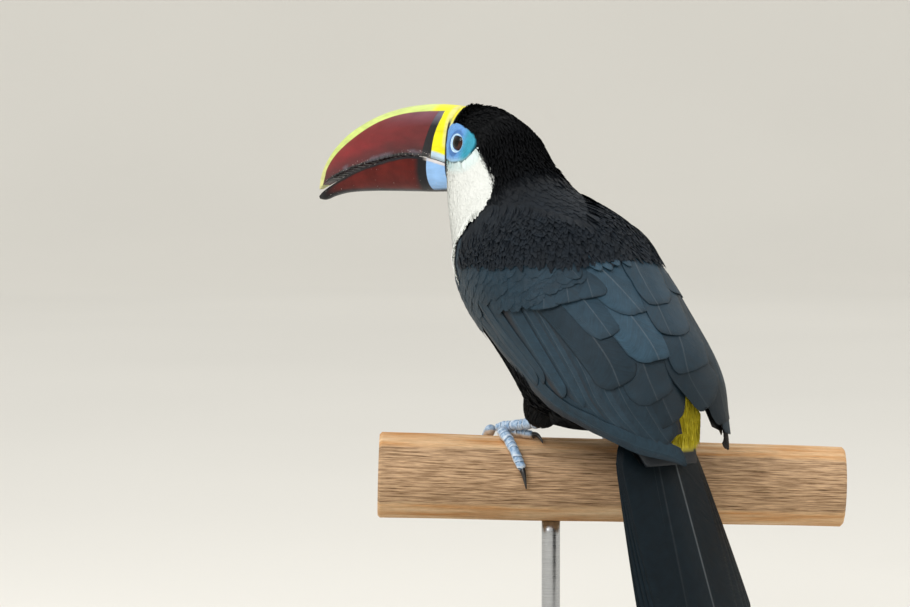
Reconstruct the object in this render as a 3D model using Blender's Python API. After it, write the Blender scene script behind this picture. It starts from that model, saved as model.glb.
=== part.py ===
"""White-throated toucan (Ramphastos tucanus), life size, on a cut length of branch.

The bird grips a short perch, which a plain stand carries: a round base and one rod.
Frame: +X is the bird's left, -Y its forward side, +Z up.  The origin is the centre of the
base's underside.  The bird's mid-plane is X = 0, and the perch crosses under it obliquely.

In the tables below a point of the mid-plane is (forward, height), in millimetres, with the
height counted from the top line of the perch.
"""
import math

import bmesh
import bpy
import numpy as np
from mathutils import Vector

MM = 0.001
GAP = 0.3                    # clearance between touching pieces
SMOOTH_ANGLE = math.radians(40.0)

# ---- stand and perch -------------------------------------------------------------------
PERCH_TOP = 180.0            # height of the perch's top line above the floor, under the bird
BASE_RADIUS = 115.0
BASE_THICKNESS = 16.0
BASE_EDGE = 3.0
ROD_RADIUS = 6.0
PERCH_TURN = 40.0            # degrees from the bird's cross axis to the perch's axis
PERCH_SLOPE = 1.55           # degrees that the perch falls towards its right-hand end
PERCH_RADIUS = 27.4          # at the rod
PERCH_TAPER = -0.0066        # change of radius per millimetre along the perch
PERCH_LEFT, PERCH_RIGHT = -112.0, 190.0

# ---- body: back line, belly line, half-width and egg shape at each section --------------
# back (forward, height), belly (forward, height), half-width, how far the widest place
# lies towards the back
BODY = np.array([
    [85.0, 214.8, 85.0, 158.5, 17.5, 0.00],       # 0 bill base
    [72.0, 216.2, 85.5, 151.0, 22.0, 0.00],       # 1 face
    [57.0, 215.2, 85.5, 142.5, 26.0, 0.00],       # 2 crown
    [41.5, 209.0, 84.0, 132.0, 30.0, 0.01],       # 3 back of the crown
    [28.5, 198.5, 80.5, 120.0, 33.5, 0.01],       # 4 nape
    [15.5, 180.0, 74.0, 106.5, 39.0, 0.01],       # 5 hind neck
    [-8.5, 161.0, 65.0, 91.0, 48.5, 0.03],        # 6 front of the mantle
    [-45.0, 142.5, 50.5, 72.5, 58.0, 0.10],       # 7 mantle
    [-66.0, 121.0, 25.0, 51.5, 58.5, 0.09],       # 8 back
    [-87.0, 95.5, 4.0, 29.0, 56.0, 0.09],         # 9 lower back
    [-108.0, 69.0, -9.0, 14.5, 51.5, 0.06],       # 10 vent of the belly
    [-118.0, 44.0, -33.0, 10.5, 43.0, 0.07],       # 11 flank
    [-120.5, 21.0, -68.0, 9.5, 34.0, 0.07],       # 12 rump
    [-120.0, 0.5, -97.0, -2.0, 27.0, 0.02],       # 13 tail base
    [-122.5, -18.0, -114.0, -21.0, 20.0, 0.01],   # 14 end of the coverts
])
HEAD_END, NECK_END, TRUNK_END, RUMP_END = 3.4, 5.2, 12.0, 13.5
CUT = 0.02                   # half of a cut between two lengths of the body, in sections
BODY_SIDES = 24

# ---- wings: the last sections of the surface that each folded wing lies on --------------
WING_START = 5.35            # section of the shoulder
WING_FIRST = 5               # first section that the wings' surfaces are made from
WING_ROWS, WING_COLUMNS = 18, 9
WING_SHOULDER = 0.10         # share of the span over which the shoulder is rounded
WING_RISE = 0.25             # share of the span over which the wing swells to its full height
WING_LEAST = 0.35            # width and height at the shoulder, as a share of the full ones
WING_TAPER = 0.55            # share of the height that is lost by the tip
WING_FULLNESS = 0.6          # under 1 makes the cross-section fuller than a half sine
WING_EDGE_LIFT, WING_MIDDLE_LIFT = 1.2, 4.2
WING_EDGE_DEPTH, WING_SHOULDER_DEPTH, WING_MIDDLE_DEPTH = 1.3, 1.2, 5.2
LEFT_WING_END = np.array([
    [-113.0, 66.0, -28.0, 8.0, 54.0, 0.0],
    [-121.0, 44.0, -55.0, 2.0, 47.0, 0.0],
    [-123.5, 24.0, -82.0, -6.0, 39.0, 0.0],
    [-125.0, 5.0, -104.0, -12.0, 26.0, 0.0],
    [-125.5, -12.0, -118.0, -16.0, 10.0, 0.0],
])
RIGHT_WING_END = np.array([
    [-87.0, 95.5, 4.0, 29.0, 59.5, 0.09],
    [-113.0, 66.0, -28.0, 8.0, 59.5, 0.02],
    [-121.0, 46.0, -50.0, 2.0, 60.0, 0.0],
    [-124.0, 28.0, -62.0, -12.0, 57.5, 0.0],
    [-126.0, 12.0, -84.0, -20.0, 53.0, 0.0],
    [-126.5, 0.0, -98.5, -12.0, 49.0, 0.0],
])
# angle round the body, from the back line, of each wing's inner and lower edge
LEFT_INNER = [75.0, 56.0, 36.0, 17.0, 7.0, 3.0, 1.0, -3.0, -10.0, -12.0]
LEFT_LOWER = [98.0, 110.0, 110.0, 107.0, 99.0, 97.0, 98.0, 89.0, 70.0, -6.0]
RIGHT_INNER = [75.0, 56.0, 36.0, 17.0, 7.0, 3.0, 7.0, 23.0, 41.0, 60.0]
RIGHT_LOWER = [98.0, 110.0, 110.0, 107.0, 99.0, 97.0, 92.0, 78.0, 67.0, 63.0]

# ---- tail ------------------------------------------------------------------------------
TAIL_ROOT = (-106.5, 2.0)    # forward, height of the root's middle
TAIL_LENGTH = 134.0
TAIL_LEAN = 19.5             # degrees from the vertical, backwards
TAIL_ROOT_HALF, TAIL_END_HALF = 34.0, 51.0
TAIL_SIDE = 1.0              # the tail's middle lies this far to the left
TAIL_ROOF = 9.0              # how far the edges lie below the middle
TAIL_ROUND = 15.0            # how much shorter the outermost feathers are
TAIL_THICK_MIDDLE, TAIL_THICK_EDGE = 4.2, 1.2

# ---- bill ------------------------------------------------------------------------------
CULMEN = np.array([
    [85.4, 214.8], [109.0, 216.3], [129.0, 215.8], [148.0, 213.9], [170.0, 209.6],
    [189.0, 203.9], [208.0, 195.9], [223.0, 186.5], [233.0, 177.6], [239.5, 169.0], [242.6, 160.5]])
UPPER_EDGE = np.array([
    [85.4, 177.2], [101.0, 180.2], [121.0, 182.0], [144.0, 180.8], [162.0, 178.3],
    [180.0, 175.4], [198.0, 171.8], [214.0, 167.8], [227.0, 163.6], [236.0, 160.0], [242.2, 157.0]])
LOWER_EDGE = np.array([
    [85.4, 176.7], [101.0, 179.7], [121.0, 181.4], [144.0, 179.9], [162.0, 176.8],
    [180.0, 173.2], [198.0, 168.6], [213.0, 164.0], [226.0, 159.6], [236.0, 155.6], [242.6, 152.4]])
GONYS = np.array([
    [85.4, 159.3], [98.0, 158.2], [115.0, 157.5], [135.0, 157.4], [155.0, 157.3],
    [175.0, 157.1], [195.0, 156.4], [212.0, 155.2], [226.0, 152.7], [236.0, 149.9], [242.4, 150.2]])
BILL_HALF_WIDTH = np.array([17.4, 16.8, 15.4, 14.0, 12.3, 10.6, 8.7, 6.7, 4.7, 3.2, 1.5])
BILL_SIDES = 12
BILL_FULLNESS = 0.78         # under 1 makes the sides stand up like a roof's walls

# ---- eyes ------------------------------------------------------------------------------
EYE_FORWARD, EYE_HEIGHT, EYE_SIDE = 68.5, 190.6, 18.9
EYE_RADIUS = 7.0

# ---- legs: places on the perch are (along it, degrees from its top towards the tail) -----
TARSUS_RADIUS = 3.9
TARSUS_WAIST = 0.12          # share of the radius that is lost half-way down
TARSUS_FOOT = 0.55           # last radius, inside the toes' ball, as a share of the full one
TARSUS_SQUASH = 0.85         # width as a share of depth
TOE_BALL = 4.6               # height of the toes' meeting point over the perch
FEET = {
    "left": {"at": -36.0, "heel": (18.0, -7.0, 11.0), "hip": (27.0, -36.0, 45.0)},
    "right": {"at": 44.0, "heel": (-30.0, -56.0, 8.0), "hip": (-35.0, -58.0, 40.0)},
}
THIGH_HIP_RADIUS, THIGH_HEEL_RADIUS = 20.0, 10.0
TOES = {                     # toe: (reach along the perch, turn round it, radius)
    "left": {1: (23.0, 17.0, 3.3), 2: (7.0, -62.0, 3.4), 3: (-9.0, -80.0, 3.6), 4: (16.5, 74.0, 3.6)},
    "right": {1: (7.0, 62.0, 3.3), 2: (-10.0, -58.0, 3.4), 3: (7.0, -82.0, 3.6), 4: (27.0, 30.0, 3.6)},
}
TOE_START = 7.4              # distance of a toe's first ring from the middle of the foot
TOE_TAPER = 0.20             # share of a toe's radius that is lost by its tip
TOE_PADS, TOE_PAD_SWELL = 3, 0.07
FRONT_TOE_SPREAD = 0.5       # under 1 makes the two front toes part early
CLAW_LENGTH = 10.0
CLAW_REACH, CLAW_GRIP = 0.6, 0.5     # shares of the length that run ahead and curl round
CLAW_RADIUS, CLAW_POINT = 2.1, 0.4
CLAW_CLEAR, CLAW_ARCH, CLAW_FALL = 0.7, 1.5, 1.0
CLAW_START = 1.1             # a claw's first ring lies this far past the toe's last

COLOURS = {                  # linear red, green, blue, then roughness
    "black_feather": ((0.012, 0.014, 0.018), 0.75),
    "wing_feather": ((0.020, 0.032, 0.040), 0.55),
    "tail_feather": ((0.016, 0.028, 0.034), 0.55),
    "rump_feather": ((0.55, 0.47, 0.03), 0.80),
    "red_horn": ((0.22, 0.020, 0.018), 0.30),
    "dark_red_horn": ((0.11, 0.010, 0.007), 0.30),
    "scute": ((0.25, 0.38, 0.56), 0.60),
    "claw": ((0.010, 0.010, 0.012), 0.35),
    "eye": ((0.030, 0.010, 0.006), 0.08),
    "bark": ((0.33, 0.23, 0.14), 0.85),
    "steel": ((0.48, 0.48, 0.50), 0.30),
    "wood_base": ((0.060, 0.050, 0.045), 0.45),
}


# ---- curves and surfaces ---------------------------------------------------------------
def curve(knots, t):
    """Smooth curve through the rows of knots; t counts them from 0 (Catmull-Rom)."""
    knots = np.asarray(knots, float)
    t = np.asarray(t, float)
    last = len(knots) - 1
    padded = np.concatenate([2 * knots[:1] - knots[1:2], knots, 2 * knots[-1:] - knots[-2:-1]])
    i = np.clip(t.astype(int), 0, last - 1)
    s = (t - i).reshape(t.shape + (1,) * (knots.ndim - 1))
    a, b, c, d = padded[i], padded[i + 1], padded[i + 2], padded[i + 3]
    return 0.5 * (2 * b + (c - a) * s + (2 * a - 5 * b + 4 * c - d) * s**2 + (3 * b - a - 3 * c + d) * s**3)


def world(side, forward, height):
    """Stack millimetres in the bird's own directions into world points in metres."""
    side, forward, height = np.broadcast_arrays(side, forward, height)
    return np.stack([side, -forward, height + PERCH_TOP], axis=-1) * MM


def body_surface(table, u, angle, grow):
    """Points at section u and angle (radians from the back line, positive to the left).

    A section is an ellipse between its back and belly points, made egg-shaped by its last
    value, and grow millimetres larger all round.
    """
    row = curve(table, u)
    middle = (row[..., 0:2] + row[..., 2:4]) / 2
    half = (row[..., 0:2] - row[..., 2:4]) / 2
    reach = 1 + grow / np.linalg.norm(half, axis=-1)
    forward = middle[..., 0] + half[..., 0] * reach * np.cos(angle)
    height = middle[..., 1] + half[..., 1] * reach * np.cos(angle)
    side = (row[..., 4] + grow) * np.sin(angle) * (1 + row[..., 5] * np.cos(angle))
    return world(side, forward, height)


# ---- mesh and object helpers -----------------------------------------------------------
def material(name):
    """Return the shared material of that name, making it on first use."""
    found = bpy.data.materials.get(name)
    if found:
        return found
    colour, roughness = COLOURS[name]
    made = bpy.data.materials.new(name)
    made.use_nodes = True
    shader = made.node_tree.nodes["Principled BSDF"]
    shader.inputs["Base Color"].default_value = (*colour, 1.0)
    shader.inputs["Roughness"].default_value = roughness
    shader.inputs["Metallic"].default_value = 1.0 if name == "steel" else 0.0
    made.diffuse_color = (*colour, 1.0)
    return made


def add_object(name, bm, finish):
    """Turn a bmesh into a named object with outward faces and smooth shading."""
    bmesh.ops.recalc_face_normals(bm, faces=bm.faces)
    mesh = bpy.data.meshes.new(name)
    bm.to_mesh(mesh)
    bm.free()
    mesh.shade_smooth()
    mesh.set_sharp_from_angle(angle=SMOOTH_ANGLE)
    piece = bpy.data.objects.new(name, mesh)
    bpy.context.collection.objects.link(piece)
    if finish:
        mesh.materials.append(material(finish))
    return piece


def rings_mesh(rings):
    """Closed skin over rings of points (n rings, m points, 3), its two ends capped by fans."""
    bm = bmesh.new()
    verts = [[bm.verts.new(point) for point in ring] for ring in rings]
    sides = len(verts[0])
    for near, far in zip(verts, verts[1:]):
        for i in range(sides):
            j = (i + 1) % sides
            bm.faces.new((near[i], near[j], far[j], far[i]))
    for ring, points in ((verts[0], rings[0]), (verts[-1], rings[-1])):
        hub = bm.verts.new(np.mean(points, axis=0))
        for i in range(sides):
            bm.faces.new((ring[i], ring[(i + 1) % sides], hub))
    return bm


def plate_mesh(outer, inner):
    """Closed plate between two grids of points, joined round their rim."""
    rows, columns = outer.shape[:2]
    across = range(columns)
    along = range(rows)
    loop = [(0, j) for j in across] + [(i, columns - 1) for i in along[1:]]
    loop += [(rows - 1, j) for j in across[-2::-1]] + [(i, 0) for i in along[-2:0:-1]]
    bm = bmesh.new()
    grids = [[[bm.verts.new(point) for point in row] for row in grid] for grid in (outer, inner)]
    for grid in grids:
        for i in range(rows - 1):
            for j in range(columns - 1):
                bm.faces.new((grid[i][j], grid[i][j + 1], grid[i + 1][j + 1], grid[i + 1][j]))
    for a, b in zip(loop, loop[1:] + loop[:1]):
        bm.faces.new((grids[0][a[0]][a[1]], grids[0][b[0]][b[1]],
                      grids[1][b[0]][b[1]], grids[1][a[0]][a[1]]))
    return bm


def tube_mesh(path, radii, sides, squash=1.0):
    """Tube round a path of points, with a radius at each; squash narrows it sideways."""
    path = np.asarray(path, float)
    angles = np.linspace(0, 2 * np.pi, sides, endpoint=False)
    tangents = np.gradient(path, axis=0)
    across = np.cross(tangents[0], (0.0, 0.0, 1.0))
    rings = []
    for point, tangent, radius in zip(path, tangents, radii):
        tangent = tangent / np.linalg.norm(tangent)
        across = across - tangent * (across @ tangent)
        across /= np.linalg.norm(across)
        upward = np.cross(across, tangent)
        ring = np.outer(np.cos(angles), across) * squash + np.outer(np.sin(angles), upward)
        rings.append(point + radius * ring)
    return rings_mesh(rings)


def cutter(name, bm):
    """Make a body that only cuts others: it isn't rendered."""
    piece = add_object(name, bm, None)
    piece.hide_render = True
    piece.display_type = "WIRE"
    return piece


def cut(piece, tool):
    """Subtract tool from piece."""
    step = piece.modifiers.new("cut_" + tool.name, "BOOLEAN")
    step.operation = "DIFFERENCE"
    step.solver = "EXACT"
    step.object = tool


# ---- body ------------------------------------------------------------------------------
def body_length(start, end, count, grow=0.0):
    """Bmesh of the body from section start to section end."""
    u = np.linspace(start, end, count)[:, None]
    angle = np.linspace(0, 2 * np.pi, BODY_SIDES, endpoint=False)[None, :]
    return rings_mesh(body_surface(BODY, u, angle, grow))


def build_body():
    """Head, neck, trunk and rump: one smooth form, parted by thin cuts."""
    add_object("head", body_length(0.0, HEAD_END - CUT, 11), "black_feather")
    add_object("neck", body_length(HEAD_END + CUT, NECK_END - CUT, 6), "black_feather")
    add_object("trunk", body_length(NECK_END + CUT, TRUNK_END - CUT, 19), "black_feather")
    add_object("rump", body_length(TRUNK_END + CUT, RUMP_END, 8), "rump_feather")


# ---- wings -----------------------------------------------------------------------------
def build_wing(name, sign, wing_end, inner_edge, lower_edge, body_cutter):
    """One folded wing: a shell over the body's side, thin at its edges.

    Span runs from the shoulder to the tip and chord from the inner to the lower edge.
    """
    table = np.concatenate([BODY[WING_FIRST:len(BODY) - len(wing_end)], wing_end])
    start, last = WING_START - WING_FIRST, len(table) - 1
    span = np.linspace(0, 1, WING_ROWS)[:, None]
    chord = np.linspace(0, 1, WING_COLUMNS)[None, :]
    u = start + span * (last - start)
    edges = curve(np.column_stack([inner_edge, lower_edge]), u[:, 0])
    middle = edges.mean(axis=1)[:, None]
    across = edges[:, :1] + (edges[:, 1:] - edges[:, :1]) * chord
    width = WING_LEAST + (1 - WING_LEAST) * np.sqrt(np.clip(span / WING_SHOULDER, 0, 1))
    angle = sign * np.radians(middle + (across - middle) * width)
    swell = np.sin(np.pi * chord) ** WING_FULLNESS
    taper = 1 - WING_TAPER * span
    rise = WING_LEAST + (1 - WING_LEAST) * np.clip(span / WING_RISE, 0, 1)
    lift = WING_EDGE_LIFT + WING_MIDDLE_LIFT * swell * taper * rise
    depth = WING_EDGE_DEPTH + WING_SHOULDER_DEPTH * (1 - span) + WING_MIDDLE_DEPTH * swell * taper
    outer = body_surface(table, u, angle, lift)
    inner = body_surface(table, u, angle, lift - depth)
    wing = add_object(name, plate_mesh(outer, inner), "wing_feather")
    cut(wing, body_cutter)


# ---- tail ------------------------------------------------------------------------------
def build_tail(body_cutter):
    """The closed tail: a shallow roof of stiff feathers with a rounded end."""
    lean = math.radians(TAIL_LEAN)
    along = np.linspace(0, 1, 15)[:, None]
    across = np.linspace(-1, 1, 9)[None, :]
    length = along * (TAIL_LENGTH - TAIL_ROUND * across**2)
    half = TAIL_ROOT_HALF + (TAIL_END_HALF - TAIL_ROOT_HALF) * along**0.8
    drop = TAIL_ROOF * np.abs(across) ** 1.5
    thick = TAIL_THICK_EDGE + (TAIL_THICK_MIDDLE - TAIL_THICK_EDGE) * (1 - across**2)

    def layer(depth):
        below = drop + depth
        forward = TAIL_ROOT[0] - length * math.sin(lean) + below * math.cos(lean)
        height = TAIL_ROOT[1] - length * math.cos(lean) - below * math.sin(lean)
        return world(TAIL_SIDE + across * half, forward, height)

    tail = add_object("tail", plate_mesh(layer(0 * thick), layer(thick)), "tail_feather")
    cut(tail, body_cutter)


# ---- bill ------------------------------------------------------------------------------
def build_mandible(name, ridge, edge, finish):
    """One half of the bill: flat along its cutting edge, arched to its ridge."""
    t = np.linspace(0, len(ridge) - 1, 19)
    top, bottom = curve(ridge, t)[:, None, :], curve(edge, t)[:, None, :]
    half = curve(BILL_HALF_WIDTH[:, None], t)
    turn = np.linspace(0, np.pi, BILL_SIDES)[None, :]
    side = half * np.sign(np.cos(turn)) * np.abs(np.cos(turn)) ** BILL_FULLNESS
    rise = np.sin(turn)[..., None] ** BILL_FULLNESS
    place = bottom + (top - bottom) * rise
    add_object(name, rings_mesh(world(side, place[..., 0], place[..., 1])), finish)


def build_bill():
    """Both halves of the bill, a little open towards the tip."""
    build_mandible("bill_upper", CULMEN, UPPER_EDGE, "red_horn")
    build_mandible("bill_lower", GONYS, LOWER_EDGE, "dark_red_horn")


# ---- eyes ------------------------------------------------------------------------------
def ball_mesh(centre, radius, around=14, rings=8):
    """Round ball with its poles to the left and right."""
    bm = bmesh.new()
    bmesh.ops.create_uvsphere(bm, u_segments=around, v_segments=rings, radius=radius * MM)
    bmesh.ops.rotate(bm, verts=bm.verts, cent=(0, 0, 0),
                     matrix=Vector((0, 0, 1)).rotation_difference(Vector((1, 0, 0))).to_matrix())
    bmesh.ops.translate(bm, verts=bm.verts, vec=Vector(world(*centre)))
    return bm


def build_eyes():
    """Eyeballs, each in its own socket in the head."""
    head = bpy.data.objects["head"]
    for name, sign in (("left", 1.0), ("right", -1.0)):
        centre = (sign * EYE_SIDE, EYE_FORWARD, EYE_HEIGHT)
        add_object("eye_" + name, ball_mesh(centre, EYE_RADIUS), "eye")
        cut(head, cutter("socket_" + name, ball_mesh(centre, EYE_RADIUS + GAP)))


# ---- perch -----------------------------------------------------------------------------
def perch_axis():
    """Direction of the perch, from its left-hand to its right-hand end."""
    turn, slope = math.radians(PERCH_TURN), math.radians(PERCH_SLOPE)
    flat = math.cos(slope)
    return np.array([-flat * math.cos(turn), flat * math.sin(turn), -math.sin(slope)])


def perch_radius(along):
    """Radius of the perch at a distance along it from the rod."""
    return PERCH_RADIUS + PERCH_TAPER * np.asarray(along, float)


def on_perch(along, turn, clear):
    """World points at a distance clear above the perch's surface.

    along is in millimetres from the rod, turn in degrees from the top line, positive on
    the side of the bird's tail.
    """
    along, turn, clear = np.broadcast_arrays(along, np.radians(turn), clear)
    axis = perch_axis()
    back = np.cross(axis, (0.0, 0.0, 1.0))
    back /= np.linalg.norm(back)
    upward = np.cross(axis, back)
    upward *= np.sign(upward[2])
    reach = (perch_radius(along) + clear)[..., None]
    foot = world(0.0, 0.0, -PERCH_RADIUS) + MM * along[..., None] * axis
    spoke = np.cos(turn)[..., None] * upward + np.sin(turn)[..., None] * back
    return foot + MM * reach * spoke


def perch_mesh(grow=0.0):
    """The cut branch: a round bar that tapers slightly, with eased ends."""
    ease = 1.5
    along = np.array([PERCH_LEFT, PERCH_LEFT + ease, -40.0, 40.0, PERCH_RIGHT - ease, PERCH_RIGHT])
    inset = np.array([-ease, 0.0, 0.0, 0.0, 0.0, -ease]) + grow
    turn = np.linspace(0, 360, 28, endpoint=False)
    return rings_mesh(on_perch(along[:, None], turn[None, :], inset[:, None]))


def build_perch_and_stand():
    """Perch, the rod that carries it, and the round base."""
    add_object("perch", perch_mesh(), "bark")
    base = bmesh.new()
    bmesh.ops.create_cone(base, cap_ends=True, segments=36, radius1=BASE_RADIUS * MM,
                          radius2=BASE_RADIUS * MM, depth=BASE_THICKNESS * MM)
    bmesh.ops.translate(base, verts=base.verts, vec=(0, 0, BASE_THICKNESS * MM / 2))
    rim = [edge for edge in base.edges
           if all(vert.co.z > BASE_THICKNESS * MM / 2 for vert in edge.verts)]
    bmesh.ops.bevel(base, geom=rim, offset=BASE_EDGE * MM, segments=2, profile=0.5, affect="EDGES")
    add_object("stand_base", base, "wood_base")
    foot, top = BASE_THICKNESS + GAP, PERCH_TOP - PERCH_RADIUS
    rod = bmesh.new()
    bmesh.ops.create_cone(rod, cap_ends=True, segments=24, radius1=ROD_RADIUS * MM,
                          radius2=ROD_RADIUS * MM, depth=(top - foot) * MM)
    bmesh.ops.translate(rod, verts=rod.verts, vec=(0, 0, (top + foot) * MM / 2))
    rod = add_object("stand_rod", rod, "steel")
    cut(rod, cutter("perch_clearance", perch_mesh(GAP)))


# ---- legs ------------------------------------------------------------------------------
def thigh_mesh(hip, heel, grow=0.0):
    """Feathered thigh: round sections that shrink from the hip to the heel."""
    steps = np.linspace(-1, 1, 9)
    path = [np.array(world(*hip)) * (0.5 - s / 2) + np.array(world(*heel)) * (0.5 + s / 2) for s in steps]
    widths = THIGH_HIP_RADIUS + (THIGH_HEEL_RADIUS - THIGH_HIP_RADIUS) * (0.5 + steps / 2)
    rounding = np.clip(1 - np.abs(steps) ** 6, 0.05, 1) ** 0.5
    return tube_mesh(path, (widths * rounding + grow) * MM, 12)


def build_toe(name, foot_at, reach, turn, radius):
    """A toe along the perch's surface, and its curved claw."""
    start = TOE_START / math.hypot(reach, math.radians(turn) * PERCH_RADIUS)
    steps = np.linspace(start, 1, 7)
    along = foot_at + reach * steps ** (FRONT_TOE_SPREAD if turn < 0 else 1.0)
    angle = turn * steps
    pads = 1 + TOE_PAD_SWELL * np.cos(steps * TOE_PADS * 2 * np.pi)
    widths = radius * (1 - TOE_TAPER * steps) * pads
    path = on_perch(along, angle, widths + GAP)
    toe = add_object(name, tube_mesh(path, widths * MM, 8), "scute")
    grip = np.linspace(0, 1, 6)
    arc = np.radians(turn) * PERCH_RADIUS
    lead = CLAW_START + CLAW_LENGTH * CLAW_REACH * grip
    claw_along = along[-1] + lead * reach / math.hypot(reach, arc)
    claw_arc = arc + lead * arc / math.hypot(reach, arc)
    claw_arc += math.copysign(CLAW_LENGTH * CLAW_GRIP, turn) * grip**2
    arch = CLAW_RADIUS + CLAW_CLEAR + CLAW_ARCH * np.sin(grip * np.pi) - CLAW_FALL * grip
    claw_widths = CLAW_RADIUS * (1 - grip) ** 0.7 + CLAW_POINT
    path = on_perch(claw_along, np.degrees(claw_arc / PERCH_RADIUS), arch)
    return toe, path, claw_widths


def build_leg(side, foot, body_cutter):
    """Thigh, tarsus, four toes and claws of one leg."""
    add_object("thigh_" + side, thigh_mesh(foot["hip"], foot["heel"]), "black_feather")
    clearance = cutter("thigh_clearance_" + side, thigh_mesh(foot["hip"], foot["heel"], GAP))
    cut(bpy.data.objects["trunk"], clearance)
    ball = on_perch(foot["at"], 0.0, TOE_BALL + GAP)
    heel = np.array(world(*foot["heel"]))
    steps = np.linspace(0, 1, 8)
    path = [heel + (ball - heel) * s for s in steps]
    widths = TARSUS_RADIUS * (1.0 - TARSUS_WAIST * np.sin(steps * np.pi))
    widths[-1] = TARSUS_RADIUS * TARSUS_FOOT
    tarsus = add_object("tarsus_" + side, tube_mesh(path, widths * MM, 10, TARSUS_SQUASH), "scute")
    cut(tarsus, clearance)
    cut(tarsus, body_cutter)
    shin = cutter("tarsus_clearance_" + side, tube_mesh(path, (widths + GAP) * MM, 10, TARSUS_SQUASH))
    for number, (reach, turn, radius) in TOES[side].items():
        toe, path, widths = build_toe(f"toe_{side}_{number}", foot["at"], reach, turn, radius)
        cut(toe, shin)
        add_object(f"claw_{side}_{number}", tube_mesh(path, widths * MM, 6), "claw")


def main():
    """Build every piece."""
    for old in list(bpy.data.objects):
        bpy.data.objects.remove(old, do_unlink=True)
    build_body()
    build_eyes()
    build_bill()
    body_cutter = cutter("body_clearance", body_length(NECK_END - 0.5, RUMP_END, 24, GAP))
    build_wing("wing_left", 1.0, LEFT_WING_END, LEFT_INNER, LEFT_LOWER, body_cutter)
    build_wing("wing_right", -1.0, RIGHT_WING_END, RIGHT_INNER, RIGHT_LOWER, body_cutter)
    build_tail(body_cutter)
    build_perch_and_stand()
    for side, foot in FEET.items():
        build_leg(side, foot, body_cutter)


main()
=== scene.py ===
"""White-throated toucan (Ramphastos tucanus) on its perch: the looks.

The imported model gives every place.  Here the flesh nodes get one skin, the skin gets its
plumage as solid vanes, and the bill, eyes, feet, claws, perch and stand get fine surfaces.

The bird's own directions are side (left is positive), forward and height, in millimetres;
height counts from the top line of the perch.  Surfaces are functions of two parameters and a
lift above them, and everything that grows on a surface is laid out in its parameters.
"""

import math

import bpy
import numpy as np
from bpy.props import FloatProperty, FloatVectorProperty, PointerProperty
from mathutils import Matrix, Vector

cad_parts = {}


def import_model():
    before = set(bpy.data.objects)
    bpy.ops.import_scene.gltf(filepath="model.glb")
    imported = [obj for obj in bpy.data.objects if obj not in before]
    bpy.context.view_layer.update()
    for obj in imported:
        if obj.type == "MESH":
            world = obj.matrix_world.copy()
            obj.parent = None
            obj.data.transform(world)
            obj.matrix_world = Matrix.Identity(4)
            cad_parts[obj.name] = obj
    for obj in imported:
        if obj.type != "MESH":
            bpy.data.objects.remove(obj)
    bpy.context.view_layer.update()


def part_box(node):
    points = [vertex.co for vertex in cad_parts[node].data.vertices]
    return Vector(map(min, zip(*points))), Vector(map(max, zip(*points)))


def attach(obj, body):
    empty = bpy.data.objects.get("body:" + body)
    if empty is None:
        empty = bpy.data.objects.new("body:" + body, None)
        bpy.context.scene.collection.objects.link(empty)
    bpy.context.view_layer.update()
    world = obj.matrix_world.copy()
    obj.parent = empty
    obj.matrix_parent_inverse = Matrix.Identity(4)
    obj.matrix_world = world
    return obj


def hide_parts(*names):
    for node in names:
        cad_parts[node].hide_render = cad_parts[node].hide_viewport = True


bl_info = {
    "name": "Toucan on a perch",
    "version": (1, 0, 0),
    "blender": (4, 5, 0),
    "location": "View3D > Sidebar > Toucan",
    "description": "Skin, plumage, bill, feet, perch and stand of a life-size toucan",
    "category": "Object",
}

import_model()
MM = 0.001

# ---- where the bird's own directions start ----
EYE_FORWARD, EYE_HEIGHT, EYE_RADIUS = 68.5, 190.6, 7.0
EYE_INSET, EYE_BACK = 0.7, 1.7      # how far the eyeball sits inward and back in its folds, mm


def middle_of(name):
    """Centre of a CAD node's box, in metres."""
    low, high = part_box(name)
    return (np.array(low) + np.array(high)) / 2


EYES = {"left": middle_of("eye_left"), "right": middle_of("eye_right")}
ORIGIN = (EYES["left"] + EYES["right"]) / 2 + np.array([0, EYE_FORWARD * MM, -EYE_HEIGHT * MM])

# ---- body: back line, belly line, half-width and egg shape at each section ----
BODY = np.array([
    [85.0, 214.8, 85.0, 158.5, 17.5, 0.00],       # 0 bill base
    [72.0, 216.2, 85.5, 151.0, 22.0, 0.00],       # 1 face
    [57.0, 215.2, 85.5, 142.5, 26.0, 0.00],       # 2 crown
    [41.5, 209.0, 84.0, 132.0, 30.0, 0.01],       # 3 back of the crown
    [28.5, 198.5, 80.5, 120.0, 33.5, 0.01],       # 4 nape
    [15.5, 180.0, 74.0, 106.5, 39.0, 0.01],       # 5 hind neck
    [-8.5, 161.0, 65.0, 91.0, 48.5, 0.03],        # 6 front of the mantle
    [-45.0, 142.5, 50.5, 72.5, 58.0, 0.10],       # 7 mantle
    [-66.0, 121.0, 25.0, 51.5, 58.5, 0.09],       # 8 back
    [-87.0, 95.5, 4.0, 29.0, 56.0, 0.09],         # 9 lower back
    [-108.0, 69.0, -9.0, 14.5, 51.5, 0.06],       # 10 vent of the belly
    [-118.0, 44.0, -33.0, 10.5, 43.0, 0.07],      # 11 flank
    [-120.5, 21.0, -68.0, 9.5, 34.0, 0.07],       # 12 rump
    [-120.0, 0.5, -97.0, -2.0, 27.0, 0.02],       # 13 tail base
    [-122.5, -18.0, -114.0, -21.0, 20.0, 0.01],   # 14 end of the coverts
])
SKIN_END = 13.5              # section where the skin closes
COAT_DEPTH = 2.2             # the skin lies this far inside the plumage's outline

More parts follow.
